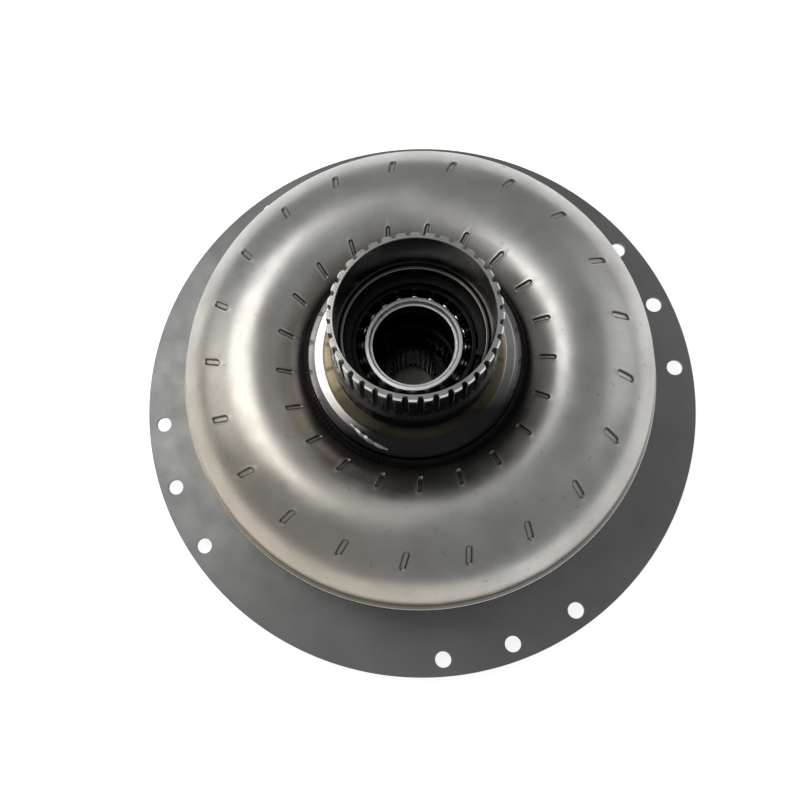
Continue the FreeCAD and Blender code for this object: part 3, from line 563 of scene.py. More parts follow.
    def _surface(self, tree: Tree,
                 place: Socket) -> Socket:
        """Fine grain, and rings left by turning where the piece was turned."""
        bump = add_node(tree, "ShaderNodeBump", {
            "Height": self._noise(tree, place, self.grain, 3.0, 0.6),
            "Distance": self.grain_height * MM, "Strength": 1.0})
        if self.turned <= 0:
            return bump.outputs[0]
        radius, level, _ = self._polar(tree, place)
        meridian = add_node(tree, "ShaderNodeCombineXYZ", {"X": radius, "Y": level})
        rings = add_node(tree, "ShaderNodeBump", {
            "Height": self._noise(tree, meridian.outputs[0], self.turned, 2.0, 0.8),
            "Distance": self.turned_height * MM, "Strength": 1.0,
            "Normal": bump.outputs[0]})
        return rings.outputs[0]


# Hot-rolled sheet with thin blue-grey mill scale, rubbed dull and lightly oiled.
MILL_SCALE = Metal("mill_scale_steel", "#8A8A87", "#7B7B78", 0.46, metallic=0.95, mottle=80.0,
                   grain=1.2, grain_height=0.02, smear=0.06)
# Cold-formed low-carbon sheet, tumbled to a warm satin and heat-tinted near its hub weld, with
# painted shade above its rim lip, a painted highlight on the lip, painted shade along its
# dimple walls and a tan tint towards the lower left.
PRESSED_SHELL = Metal(
    "pressed_shell_steel", "#BDBBB6", "#ABA8A3", 0.33, mottle=34.0, grain=1.4,
    grain_height=0.02, speck_share=0.01, speck="#7A746C", smear=0.06,
    side=247.0, side_color="#A39474", side_span=(50.0, 165.0), side_share=0.5,
    # Colour of the painted shade along the dimple walls.
    painted_shade="#4A443D",
    tints=(Tints(TintAxis.RADIUS, (
        (66.0, "#17110E", 0.97), (70.5, "#2A1E17", 0.85), (73.0, "#6A5240", 0.5),
        (76.5, "#9A8F80", 0.2), (84.0, "#B0ABA4", 0.0), (146.0, "#A89C8C", 0.0),
        # Rim bands: painted shade growing towards the rim and in the valley above the lip,
        # then a painted highlight on the lip.
        (153.0, "#85796A", 0.3), (156.2, "#4A433B", 0.75), (157.4, "#4A433B", 0.5),
        (158.2, "#C2B79E", 0.2), (160.2, "#C2B79E", 0.0)), 0.4),))
# The same sheet on the cover, a little darker where it has been handled less.
PRESSED_COVER = Metal("pressed_cover_steel", "#A39F98", "#88847E", 0.4, mottle=38.0, grain=1.4,
                      grain_height=0.03, speck_share=0.01, speck="#7A746C")
# Turned medium-carbon steel, blued and straw-coloured by the weld at its foot,
# with painted shade on its front, neck and teeth, and dark with baked oil and painted shade in
# its bore.
TURNED_HUB = Metal(
    "turned_hub_steel", "#CFCDC8", "#B9B6B1", 0.17, mottle=18.0, grain=0.7,
    grain_height=0.01, turned=0.45, turned_height=0.012, smear=0.06,
    # Painted shade: near black on the front side, below the tip face.
    side=-55.0, side_color="#0C0B0F", side_span=(8.0, 46.0), side_share=0.94,
    side_top=190.5,
    tints=(Tints(TintAxis.LEVEL, (
        (104.0, "#1A1514", 0.95), (112.5, "#15171D", 0.95), (116.0, "#5B5E70", 0.7),
        (121.5, "#8B8793", 0.55), (125.0, "#8B8793", 0.4), (127.0, "#C2A868", 0.6),
        # Heat colours up to 134 mm; from 150 mm to the tip face, painted shade on the neck and
        # teeth.
        (134.0, "#8A744A", 0.6), (150.0, "#4C453C", 0.6), (186.0, "#4A463F", 0.6),
        (190.0, "#6C6963", 0.5), (191.5, "#CFCDC8", 0.0)), 1.0),
        # Bore: dark with baked oil and painted shade, less dark on the counterbore step.
        Tints(TintAxis.RADIUS, (
            (36.0, "#14110F", 0.98), (41.8, "#14110F", 0.98), (42.0, "#8E8A84", 0.5),
            (43.3, "#8E8A84", 0.5), (43.5, "#2A2420", 0.96), (44.9, "#332C28", 0.94),
            (45.3, "#393430", 0.0)), 0.0)))
# Plain turned steel, bright under a film of oil.
TURNED_STEEL = Metal("turned_steel", "#B8B5AF", "#9C9891", 0.28, mottle=16.0, grain=0.7,
                     grain_height=0.01, turned=0.5, turned_height=0.02)
# Turned steel of the inner hubs, dark with gearbox oil and painted shade.
OILED_TURNED_IN_PAINTED_SHADE = Metal("oiled_turned_steel_in_painted_shade", "#3C3936", "#2A2826", 0.24, mottle=12.0, grain=0.6,
                     grain_height=0.01)
# Arc-weld metal, scaled black and brown by its own heat.
BURNT_WELD = Metal("burnt_weld_metal", "#1B1715", "#0C0A0A", 0.3, metallic=0.85, mottle=9.0,
                   grain=0.8, grain_height=0.08, smear=0.15)
# Fresh weld metal without scale.
BRIGHT_WELD = Metal("bright_weld_metal", "#C4C0BA", "#8A857E", 0.3, mottle=4.0, grain=0.6,
                    grain_height=0.05)
# Through-hardened chrome steel, ground and lapped.
BEARING_STEEL = Metal("ground_bearing_steel", "#F0EFEC", "#E2E1DE", 0.2, mottle=12.0,
                      grain=0.4, grain_height=0.003, smear=0.04)
# The same steel with its faces wiped and its bore dark with oil and painted shade.
WIPED_RING = Metal(
    "wiped_bearing_ring", "#FBFAF8", "#F1F0ED", 0.42, mottle=12.0, grain=0.4,
    grain_height=0.003, smear=0.03, tints=(Tints(TintAxis.RADIUS, (
        # Bore band: dark oil and painted shade.
        (24.0, "#131110", 0.97), (25.05, "#131110", 0.97), (25.2, "#E9E8E6", 0.0)), 0.0),))
# The same steel, dark with oil and painted shade.
OILED_BEARING_IN_PAINTED_SHADE = Metal("oiled_bearing_steel_in_painted_shade", "#2E2B29", "#211F1D", 0.22, mottle=9.0,
                      grain=0.5, grain_height=0.004)
# Pressed strip of the bearing cages, black with oil and painted shade.
CAGE_STEEL = Metal("cage_strip_steel", "#2B2826", "#1D1B1A", 0.38, mottle=6.0, grain=0.5,
                   grain_height=0.01)
# Screws with a black oxide finish.
BLACK_OXIDE = Metal("black_oxide_steel", "#2E2D2D", "#1E1D1E", 0.4, metallic=0.8, mottle=8.0,
                    grain=0.6, grain_height=0.02)
# Spring steel with a dark phosphate coat.
PHOSPHATED_SPRING = Metal("phosphated_spring_steel", "#3B3937", "#2A2827", 0.45, metallic=0.8,
                          mottle=6.0, grain=0.5, grain_height=0.01)
# Plain sheet of the inner wheels, dark with oil.
OILED_SHEET = Metal("oiled_sheet_steel", "#4A4743", "#383532", 0.33, mottle=25.0, grain=1.0,
                    grain_height=0.02)
# Sand-cast aluminium, with the grain of its mould.
CAST_ALUMINIUM = Metal("cast_aluminium", "#8A8A88", "#70706F", 0.5, mottle=12.0, grain=1.1,
                       grain_height=0.08)
# Glass-filled nylon of the thrust washer, plain moulded.
MOULDED_NYLON = Metal("moulded_nylon", "#8A6B42", "#7A5C36", 0.5, metallic=0.0, mottle=10.0,
                      grain=0.6, grain_height=0.01)


def dress(piece: Piece, finish: Metal) -> None:
    """Give a piece its one finish."""
    piece.data.materials.clear()
    piece.data.materials.append(finish.build())


def hand_over(piece: Piece, body: str, finish: Metal, slot: str,
              *nodes: str) -> None:
    """Dress a piece, fix it to its body and let it stand for its CAD nodes.

    Args:
        piece: the finished piece.
        body: the body that it moves with.
        finish: its finish.
        slot: the record's material slot; not used.
        nodes: the CAD nodes that it replaces.
    """
    dress(piece, finish)
    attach(piece, body)
    if nodes:
        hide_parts(*nodes)
    log.info("%s: %d faces, for %s", piece.name, len(piece.data.polygons),
             ", ".join(nodes) or "no CAD node")


# ---------------------------------------------------------------- sub-assemblies

@dataclass
class FlexPlateSet:
    """Flex plate, its clamp ring, bosses and screws. Sizes in millimetres."""

    hole_circle: float = 196.0
    hole_radius: float = 5.75
    hole_step: float = 15.0
    bore: float = 70.0
    boss_circle: float = 100.0
    boss_radius: float = 14.0
    screw_radius: float = 5.0
    screw_hole: float = 5.5
    head_width: float = 16.0
    count: int = 8
    edge: float = 0.35

    def _holes(self, flywheel: bool) -> list[tuple[float, float, float]]:
        """Centre and radius of each hole of a plate."""
        spots = [(FULL_TURN * k / self.count, self.boss_circle, self.screw_hole)
                 for k in range(self.count)]
        if flywheel:
            spots += [(math.radians(90 * group + 45 + side * self.hole_step),
                       self.hole_circle, self.hole_radius)
                      for group in range(4) for side in (-1, 0, 1)]
        return [(r * math.cos(a), r * math.sin(a), size) for a, r, size in spots]

    def _plate(self, name: str, outer: float, bore: float, node: str,
               flywheel: bool) -> Piece:
        """Flat ring with its holes, in the place of its node."""
        low, high = levels(node)
        holes = self._holes(flywheel)
        mesh = bpy.data.meshes.new(name)
        mesh.from_pydata([(x * MM, y * MM, 0.0) for x, y, _ in holes], [], [])
        sizes = mesh.attributes.new("hole_radius", "FLOAT", "POINT")
        sizes.data.foreach_set("value", [size * MM for _, _, size in holes])
        start = bpy.data.objects.new(name, mesh)
        bpy.context.scene.collection.objects.link(start)
        plate = run_tree(start, plate_tree(), {
            "Outer Radius": outer * MM, "Bore Radius": bore * MM,
            "Thickness": (high - low) * MM, "Finish": MILL_SCALE.build()},
            crease=12, bevel=self.edge * MM)
        plate.data.transform(Matrix.Translation((0, 0, low * MM)))
        return plate

    def _screw(self) -> Piece:
        """One hexagon screw with a chamfered head, in its first place."""
        low, top = levels("flex_plate_bolts")
        seat = levels("flex_clamp_ring")[0]
        across = self.head_width / 2
        corner = across / math.cos(math.pi / 6)
        outline = [(0.0, top), (0.0, low), (across * 0.55, low), (across * 0.9, low),
                   (corner, low + 1.2), (corner, seat - 0.5), (across * 0.96, seat - 0.4),
                   (across * 0.96, seat), (self.screw_radius, seat),
                   (self.screw_radius, top - 1.0), (self.screw_radius - 1.0, top)]

        def to_hexagon(radius: np.ndarray, level: np.ndarray, angle: np.ndarray) -> tuple:
            """Press the head's widest points to six flats."""
            flat = (angle + math.pi / 6) % (math.pi / 3) - math.pi / 6
            limit = across / np.cos(flat)
            head = (level < seat - 0.05) & (radius > across * 0.95)
            return np.where(head, np.minimum(radius, limit), radius), level, angle

        screw = lathe("flex_plate_screws", outline, even_angles(48), to_hexagon)
        screw.data.transform(Matrix.Translation((self.boss_circle * MM, 0, 0)))
        return screw

    def _boss(self) -> Piece:
        """One boss, with its edges broken and a fillet weld at its foot."""
        low, high = levels("cover_bosses")
        radius = self.boss_radius
        outline = rounded([(self.screw_radius + 0.2, low, 0), (radius, low, 1.0),
                           (radius, high - 2.5, 0.5), (radius + 1.5, high, 0),
                           (self.screw_radius + 0.2, high, 0)])
        boss = lathe("threaded_bosses", outline, even_angles(64))
        boss.data.transform(Matrix.Translation((self.boss_circle * MM, 0, 0)))
        return boss

    def build(self) -> None:
        """Make the plate, the ring, the bosses and the screws."""
        plate = self._plate("drive_plate", outer_radius("flex_plate"), self.bore,
                            "flex_plate", True)
        hand_over(plate, "impeller", MILL_SCALE, "plate_steel", "flex_plate")
        ring_outer = outer_radius("flex_clamp_ring")
        ring = self._plate("clamp_ring", ring_outer, 2 * self.boss_circle - ring_outer,
                           "flex_clamp_ring", False)
        hand_over(ring, "impeller", MILL_SCALE, "plate_steel", "flex_clamp_ring")
        repeat = ring_tree()
        for single, finish, slot, node in (
                (self._boss(), TURNED_STEEL, "machined_steel", "cover_bosses"),
                (self._screw(), BLACK_OXIDE, "black_screw_steel", "flex_plate_bolts")):
            ring = run_tree(single, repeat, {"Count": self.count, "Finish": finish.build()})
            hand_over(ring, "impeller", finish, slot, node)


@dataclass
class CoverSet:
    """Front cover, pilot spigot and rim weld. Sizes in millimetres."""

    wall: float = 4.0
    corner: float = 32.0
    spigot: float = 2.0
    joint_step: float = 3.0
    pilot_radius: float = 27.0
    pilot_foot: float = 36.0
    foot_height: float = 6.0
    ripples: int = 260

    def build(self) -> None:
        """Make the cover, the spigot and the weld."""
        self._cover()
        self._pilot()
        self._rim_weld()

    def _cover(self) -> None:
        """Dished cover with a shallow step pressed into its flat."""
        low, high = levels("front_cover")
        rim = outer_radius("front_cover")
        joint = levels("rim_weld")[0]
        bend = rim - self.corner
        inside = rim - self.wall
        joint_radius = rim - self.joint_step
        outline = [(0.0, low), (50.0, low), (52.0, low + 0.8), (118.0, low + 0.8),
                   (120.5, low)]
        outline += arc((bend, low + self.corner), self.corner, -90, 0, 20)
        outline += [(rim, joint - 0.4), (rim - 0.4, joint), (joint_radius, joint),
                    (joint_radius, high - 0.4), (joint_radius - 0.4, high),
                    (joint_radius - self.spigot, high),
                    (joint_radius - self.spigot, joint - self.wall),
                    (inside, joint - 2 * self.wall)]
        outline += arc((bend, low + self.corner), self.corner - self.wall, 0, -90, 14)
        outline += [(0.0, low + self.wall)]
        cover = lathe("engine_side_cover", outline, even_angles(240))
        hand_over(cover, "impeller", PRESSED_COVER, "pressed_steel", "front_cover")

    def _pilot(self) -> None:
        """Spigot with a broken edge and a centre-drilled end."""
        low, high = levels("pilot_spigot")
        step = high - self.foot_height
        outline = rounded([
            (0.0, low + 6.0, 0), (2.0, low + 5.0, 0), (2.0, low + 3.0, 0),
            (5.0, low, 0.3), (self.pilot_radius - 2.0, low, 0.3),
            (self.pilot_radius, low + 2.0, 0.3), (self.pilot_radius, step, 1.2),
            (self.pilot_foot, step, 0.8), (self.pilot_foot, high, 0), (0.0, high, 0)])
        pilot = lathe("crankshaft_spigot", outline, even_angles(144))
        hand_over(pilot, "impeller", TURNED_STEEL, "machined_steel", "pilot_spigot")

    def _rim_weld(self) -> None:
        """Bead round the joint, with the ripples of its passes."""
        low, high = levels("rim_weld")
        crown = outer_radius("rim_weld")
        rim = outer_radius("front_cover")
        middle = (low + high) / 2
        outline = [(rim - self.joint_step, low), (rim, low), (crown - 0.6, low + 0.4),
                   (crown - 0.15, middle), (crown - 0.6, high - 0.4), (rim, high),
                   (rim - self.joint_step, high)]

        def ripple(radius: np.ndarray, level: np.ndarray, angle: np.ndarray) -> tuple:
            """Waves along the bead."""
            wave = np.sin(self.ripples * angle + 2.0 * np.sin(3 * angle))
            return np.where(radius > rim, radius + 0.14 * wave, radius), level, angle

        weld = lathe("rim_weld_bead", outline, even_angles(1040), ripple, 60)
        hand_over(weld, "impeller", BURNT_WELD, "weld_metal", "rim_weld")


@dataclass
class PumpShell:
    """Pressed pump shell with its two rows of dimples. Sizes in millimetres."""

    torus: float = 108.0
    height: float = 43.0
    shoulder: float = 36.0
    thickness: float = 3.0
    rows: int = 21
    outer_circle: float = 130.6
    outer_length: float = 11.8
    outer_width: float = 3.6
    outer_phase: float = 119.75
    inner_circle: float = 83.0
    inner_length: float = 10.8
    inner_width: float = 2.3
    inner_phase: float = 125.0
    depth: float = 1.1
    rim_lip: float = 3.2
    lip_height: float = 2.8
    fine_step: float = 0.45
    coarse_step: float = 3.2

    def __post_init__(self) -> None:
        """Work out the arcs of the shell from its sizes and its node."""
        self.rim = outer_radius("pump_shell")
        self.skirt_end, top = levels("pump_shell")
        self.mid = top - self.height
        self.collar = outer_radius("impeller_hub")
        offset = self.rim - self.torus - self.shoulder
        self.crown = (offset ** 2 + self.height ** 2 - self.shoulder ** 2) / (
            2 * (self.height - self.shoulder))
        self.crown_level = top - self.crown
        self.tangent = math.degrees(math.atan2(self.crown - self.height, offset))

    def _crown_angle(self, radius: float) -> float:
        """Angle on the crown arc at which it has a radius, in degrees."""
        return math.degrees(math.acos((radius - self.torus) / self.crown))

    def _outline(self) -> list[tuple[float, float]]:
        """Section of the shell, with short steps where the dimples are."""
        lip, lip_top = self.rim + self.rim_lip, self.skirt_end + self.lip_height
        path = rounded([(self.rim - self.thickness, self.skirt_end, 0.3),
                        (lip, self.skirt_end, 0.5), (lip, lip_top, 1.3),
                        (self.rim + 0.2, lip_top + 0.2, 0.4),
                        (self.rim, lip_top + 1.8, 0.6), (self.rim, self.mid, 0)])[:-1]
        centre = (self.rim - self.shoulder, self.mid)
        path += arc(centre, self.shoulder, 0, self.tangent, 14)
        stops = [self.tangent]
        for circle, length in ((self.outer_circle, self.outer_length),
                               (self.inner_circle, self.inner_length)):
            middle = self._crown_angle(circle)
            reach = math.degrees((length / 2 + 1.2) / self.crown)
            stops += [middle - reach, middle + reach]
        stops.append(self._crown_angle(self.collar))
        for number, (start, end) in enumerate(zip(stops, stops[1:])):
            span = math.radians(end - start) * self.crown
            step = self.fine_step if number % 2 else self.coarse_step
            path += arc((self.torus, self.crown_level), self.crown, start, end,
                        max(2, round(span / step)))[1:]
        inner = arc((self.torus, self.crown_level), self.crown - self.thickness,
                    self._crown_angle(self.collar) + 2.5, self.tangent, 14)
        inner[0] = (self.collar, inner[0][1])
        return path + inner + arc(centre, self.shoulder - self.thickness,
                                  self.tangent, 0, 6)[1:]

    def _columns(self) -> np.ndarray:
        """Angles of the columns: close together along the dimples."""
        sector = FULL_TURN / self.rows
        dense = np.linspace(-0.115, 0.115, 23)
        sparse = np.linspace(0.115, 0.885, 9)[1:-1]
        shares = np.concatenate([dense, sparse])
        return np.concatenate([(shares + k) * sector for k in range(self.rows)])

    def _press(self, radius: np.ndarray, level: np.ndarray, angle: np.ndarray) -> tuple:
        """Slant the columns along the blades, press the dimples in and paint shade along their
        walls.
        """
        share = np.clip((self.outer_circle - radius)
                        / (self.outer_circle - self.inner_circle), -0.25, 1.2)
        start = math.radians(self.outer_phase)
        slant = math.radians(self.inner_phase - self.outer_phase)
        sector = FULL_TURN / self.rows
        across = ((angle + sector / 2) % sector - sector / 2) * radius
        outside = np.hypot(radius - self.torus, level - self.crown_level) \
            > self.crown - self.thickness / 2
        on_crown = outside & (level > self.mid + 8)
        turn = np.arctan2(level - self.crown_level, radius - self.torus)
        drop, painted_shade = np.zeros_like(radius), np.zeros_like(radius)
        for circle, length, width in (
                (self.outer_circle, self.outer_length, self.outer_width),
                (self.inner_circle, self.inner_length, self.inner_width)):
            middle = math.radians(self._crown_angle(circle))
            along = (turn - middle) * self.crown
            straight = np.maximum(np.abs(along) - (length - width) / 2, 0)
            edge = np.hypot(straight, across) - width / 2
            press = np.clip(0.5 - edge, 0, 1)
            lip = np.exp(-((edge - 0.8) / 0.4) ** 2)
            drop += self.depth * press ** 2 * (3 - 2 * press) - 0.12 * lip
            # Painted shade: strongest just inside each dimple's outline, on its walls.
            painted_shade += np.exp(-((edge + 0.1) / 0.55) ** 2)
        drop = np.where(on_crown, drop, 0)
        painted_shade = np.where(on_crown, painted_shade, 0)
        return (radius - drop * np.cos(turn), level - drop * np.sin(turn),
                angle + start + slant * share, painted_shade)

    def build(self) -> None:
        """Make the shell."""
        shell = lathe("dimpled_pump_shell", self._outline(), self._columns(),
                      self._press, 40)
        hand_over(shell, "impeller", PRESSED_SHELL, "pressed_steel", "pump_shell")


@dataclass
class ImpellerHub:
    """Hub with its driving teeth, and the weld at its collar. Sizes in millimetres."""

    bore: float = 38.0
    recess: float = 62.0
    neck: float = 50.5
    tooth_tip: float = 49.0
    tooth_root: float = 46.3
    tooth_length: float = 41.0
    tooth_count: int = 36
    tooth_phase: float = 7.7
    counterbore: float = 41.5
    tip_bore: float = 44.7
    tip_bore_depth: float = 38.0
    collar_height: float = 17.0
    weld_leg: float = 6.0
    weld_rise: float = 9.5
    passes: int = 150
    end_start: float = 253.0
    end_stop: float = 280.0
    end_width: float = 1.6
    end_inset: float = 6.5
    end_drift: float = 4.0
    end_drop: float = 4.5
    end_waves: float = 26.0

    def __post_init__(self) -> None:
        """Read the hub's levels from its node."""
        self.skirt, self.end = levels("impeller_hub")
        self.base = levels("stator_bearing_upper_race")[1]
        self.collar = outer_radius("impeller_hub")
        self.collar_end = self.base + self.collar_height
        self.tooth_level = self.end - self.tooth_length

    def _outline(self) -> list[tuple[float, float]]:
        """Section of the hub, with its fillets and broken edges."""
        seat_low, seat_high = levels("hub_bearing_outer_ring")
        seat = outer_radius("hub_bearing_outer_ring")
        clip_low, clip_high = levels("hub_bearing_circlip")
        groove = outer_radius("hub_bearing_circlip") + 0.1
        foot = self.collar_end + 4.5
        step = self.end - self.tip_bore_depth
        return rounded([
            (self.bore, self.base, 0.5), (self.recess, self.base, 0),
            (self.recess, self.skirt, 0.3), (self.collar, self.skirt, 0.3),
            (self.collar, self.collar_end, 0.8),
            (self.collar - 4.5, foot, 1.5), (57.25, foot, 1.5),
            (self.neck, foot + 9.0, 6.0), (self.neck, self.tooth_level - 1.2, 0.3),
            (self.neck - 1.5, self.tooth_level, 0), (self.tooth_tip, self.tooth_level, 0),
            (self.tooth_tip, self.tooth_level + 0.6, 0),
            (self.tooth_tip, self.end - 1.4, 0), (self.tooth_tip - 0.9, self.end, 0),
            (self.tip_bore + 0.5, self.end, 0), (self.tip_bore, self.end - 0.5, 0),
            (self.tip_bore, step + 0.6, 0.4), (self.tip_bore - 0.6, step, 0),
            (self.counterbore + 0.8, step, 0.3), (self.counterbore, step - 0.8, 0.3),
            (self.counterbore, clip_high + 0.2, 0.2), (groove, clip_high + 0.1, 0),
            (groove, clip_low - 0.1, 0), (seat, clip_low - 0.1, 0.2),
            (seat, seat_low, 0.4), (self.bore, seat_low, 0.5)])

    def _columns(self) -> np.ndarray:
        """Angles of the columns, closer together at the flanks of the teeth."""
        offsets = np.array([0, 0.9, 1.32, 1.5, 1.72, 2.1, 2.8])
        pitch = FULL_TURN / self.tooth_count
        half = np.concatenate([-offsets[:0:-1], offsets]) / self.tooth_tip
        shares = np.concatenate([half, [pitch / 2]])
        start = math.radians(self.tooth_phase)
        return np.concatenate([shares + start + k * pitch
                               for k in range(self.tooth_count)])

    def _cut_teeth(self, radius: np.ndarray, level: np.ndarray,
                   angle: np.ndarray) -> tuple:
        """Sink the spaces between the teeth."""
        pitch = FULL_TURN / self.tooth_count
        start = math.radians(self.tooth_phase)
        away = np.abs((angle - start + pitch / 2) % pitch - pitch / 2) * self.tooth_tip
        profile = np.interp(away, [0, 0.9, 1.32, 1.5, 1.72, 2.1, 2.8, 5],
                            [0, 0.05, 0.35, 1.5, 2.2, 2.55, 2.7, 2.7]) + self.tooth_root
        toothed = (level > self.tooth_level + 0.1) & (radius > self.tip_bore + 1.2)
        return np.where(toothed, np.minimum(radius, profile), radius), level, angle

    def build(self) -> None:
        """Make the hub and its weld."""
        hub = lathe("toothed_hub", self._outline(), self._columns(), self._cut_teeth, 28)
        hand_over(hub, "impeller", TURNED_HUB, "machined_steel", "impeller_hub")
        self._weld()

    def _weld(self) -> None:
        """Fillet bead with overlapping ripples and the lump where it ends."""
        low, high = levels("hub_weld")
        foot = outer_radius("hub_weld")
        toe = high - 3.1
        path = [(self.collar, low), (self.collar, high - 0.3)]
        path += arc((self.collar - 0.2, toe - 0.6), self.weld_leg - 0.6, 82, 14, 12)
        path += [(foot, toe + 0.35), (foot - 1.0, toe - 1.6)]

        def ripple(radius: np.ndarray, level: np.ndarray, angle: np.ndarray) -> tuple:
            """Ripples of the passes, bowed as they freeze."""
            out = (radius - self.collar) / self.weld_leg
            bow = self.passes * angle + 2.4 * (out - 0.4) ** 2
            wave = np.abs(np.sin(bow / 2 + 0.8 * np.sin(5 * angle))) - 0.6
            skin = (out > 0.03) & (level > toe - 0.2)
            lift = np.where(skin, 0.14 * wave, 0)
            return radius + lift * 0.5, level + lift * 0.8, angle

        bead = lathe("hub_fillet_weld", path, even_angles(900), ripple, 60)
        hand_over(bead, "impeller", BURNT_WELD, "weld_metal", "hub_weld")
        hand_over(self._weld_end(), "impeller", BRIGHT_WELD, "weld_metal")

    def _weld_end(self) -> Piece:
        """Bright run of weld metal that the last pass left on the collar's edge."""
        share = np.linspace(0, 1, 41)[:, None]
        turn = even_angles(16)[None, :]
        swell = np.sin(math.pi * share) ** 0.5 * (
            0.75 + 0.25 * share + 0.12 * np.sin(self.end_waves * share))
        size = self.end_width * np.maximum(swell, 0.02)
        middle = self.collar - self.end_inset + self.end_drift * share
        rise = np.minimum(self.end_drop, self.collar - middle)
        angle = np.radians(self.end_start + share * (self.end_stop - self.end_start))
        return skin("weld_end", around(
            middle + 1.25 * size * np.cos(turn),
            self.collar_end + rise + 0.9 * size * np.sin(turn), angle + 0 * turn), 180)


@dataclass
class HubBearing:
    """Deep-groove ball bearing and its circlip. Sizes in millimetres."""

    land: float = 4.8
    chamfer: float = 0.5
    ball: float = 4.0
    count: int = 20
    play: float = 0.1
    first_ball: float = 4.0
    ribbon: float = 0.45
    strip: float = 0.8
    wrap_play: float = 0.08
    opening: float = 24.0
    bore: float = 25.0

    def __post_init__(self) -> None:
        """Read the bearing's place from its nodes."""
        self.low, self.high = levels("hub_bearing_inner_ring")
        self.outside = outer_radius("hub_bearing_outer_ring")
        self.middle = (self.low + self.high) / 2
        self.pitch = (self.bore + self.outside) / 2

    def _ring(self, name: str, seat: float, sign: int) -> Piece:
        """One ring with its track, rounded edges and a ground face."""
        land = seat + sign * self.land
        track = self.ball + self.play
        spread = math.degrees(math.acos(abs(self.pitch - land) / track))
        middle = 180 if sign > 0 else 0
        groove = arc((self.pitch, self.middle), track, middle - spread, middle + spread, 12)
        if sign > 0:
            corners = rounded([(seat, self.high, self.chamfer), (seat, self.low, self.chamfer),
                               (land, self.low, 0.4), (land, self.low + 1.5, 0)])
            upper = rounded([(land, self.high - 1.5, 0), (land, self.high, 0.4),
                             (seat + 2.5, self.high, 0)])
            outline = corners[5:] + groove[::-1] + upper + corners[:5]
        else:
            corners = rounded([(land, self.high - 1.5, 0), (land, self.high, 0.4),
                               (seat - 2.5, self.high, 0)])[::-1]
            lower = rounded([(land, self.low + 1.5, 0), (land, self.low, 0.4),
                             (seat, self.low, self.chamfer), (seat, self.high, self.chamfer)])
            outline = lower + corners + groove[::-1]
        return lathe(name, outline, even_angles(180), crease=30)

    def _balls(self) -> Piece:
        """The balls, repeated round the pitch circle."""
        mesh = bpy.data.meshes.new("bearing_balls")
        work = bmesh.new()
        bmesh.ops.create_icosphere(work, subdivisions=4, radius=self.ball * MM)
        bmesh.ops.translate(work, verts=work.verts,
                            vec=(self.pitch * MM, 0, self.middle * MM))
        work.to_mesh(mesh)
        work.free()
        ball = as_object("bearing_balls", mesh, 180)
        return run_tree(ball, ring_tree(), {
            "Count": self.count, "First Angle": math.radians(self.first_ball),
            "Finish": BEARING_STEEL.build()}, 180)

    def _cage(self) -> Piece:
        """Two-part ribbon cage that wraps each ball."""
        reach = self.ball + self.wrap_play
        inside, outside = self.pitch - self.strip, self.pitch + self.strip
        outline = [(inside, 0.0), (outside, 0.0), (outside, self.ribbon),
                   (inside, self.ribbon)]
        pieces = []
        for sign in (1, -1):
            def wrap(radius: np.ndarray, level: np.ndarray, angle: np.ndarray,
                     sign: int = sign) -> tuple:
                """Bend the strip over each ball."""
                sector = FULL_TURN / self.count
                start = math.radians(self.first_ball)
                along = ((angle - start + sector / 2) % sector - sector / 2) * self.pitch
                size = reach + level
                over = np.sqrt(np.maximum(size ** 2 - along ** 2, 0))
                rise = np.maximum(over, 0.05 + level)
                return radius, self.middle + sign * rise, angle

            pieces.append(lathe("ball_cage", outline, even_angles(480), wrap, 50))
        work = bmesh.new()
        for piece in pieces:
            work.from_mesh(piece.data)
            bpy.data.objects.remove(piece)
        mesh = bpy.data.meshes.new("ball_cage")
        work.to_mesh(mesh)
        work.free()
        return as_object("ball_cage", mesh, 50)

    def _clip(self) -> Piece:
        """Open spring ring with an eye at each end."""
        low, high = levels("hub_bearing_circlip")
        outer = outer_radius("hub_bearing_circlip")
        gap = math.radians(self.opening / 2)
        turns = np.linspace(gap, FULL_TURN - gap, 121)
        from_end = np.minimum(turns - gap, FULL_TURN - gap - turns) * outer
        eye = 2.2 * np.exp(-(from_end / 4.0) ** 2)
        inner = outer - (2.6 + 0.7 * (1 - np.cos(turns)) + eye)
        radius = np.stack([outer + 0 * inner, outer + 0 * inner, inner, inner], -1)
        level = np.array((low, high, high, low)) + 0 * radius
        return skin("bearing_circlip", around(radius, level, turns[:, None] + 0 * radius))

    def build(self) -> None:
        """Make the rings, the balls, the cage and the circlip."""
        inner = self._ring("bearing_inner_ring", self.bore, 1)
        hand_over(inner, "hub_bearing_inner", WIPED_RING, "bearing_steel",
                  "hub_bearing_inner_ring")
        outer = self._ring("bearing_outer_ring", self.outside, -1)
        hand_over(outer, "impeller", OILED_BEARING_IN_PAINTED_SHADE, "bearing_steel",
                  "hub_bearing_outer_ring")
        hand_over(self._balls(), "hub_bearing_set", BEARING_STEEL, "bearing_steel",
                  "hub_bearing_balls")
        hand_over(self._cage(), "hub_bearing_set", CAGE_STEEL, "cage_steel",
                  "hub_bearing_cage")
        hand_over(self._clip(), "impeller", PHOSPHATED_SPRING, "spring_steel",
                  "hub_bearing_circlip")


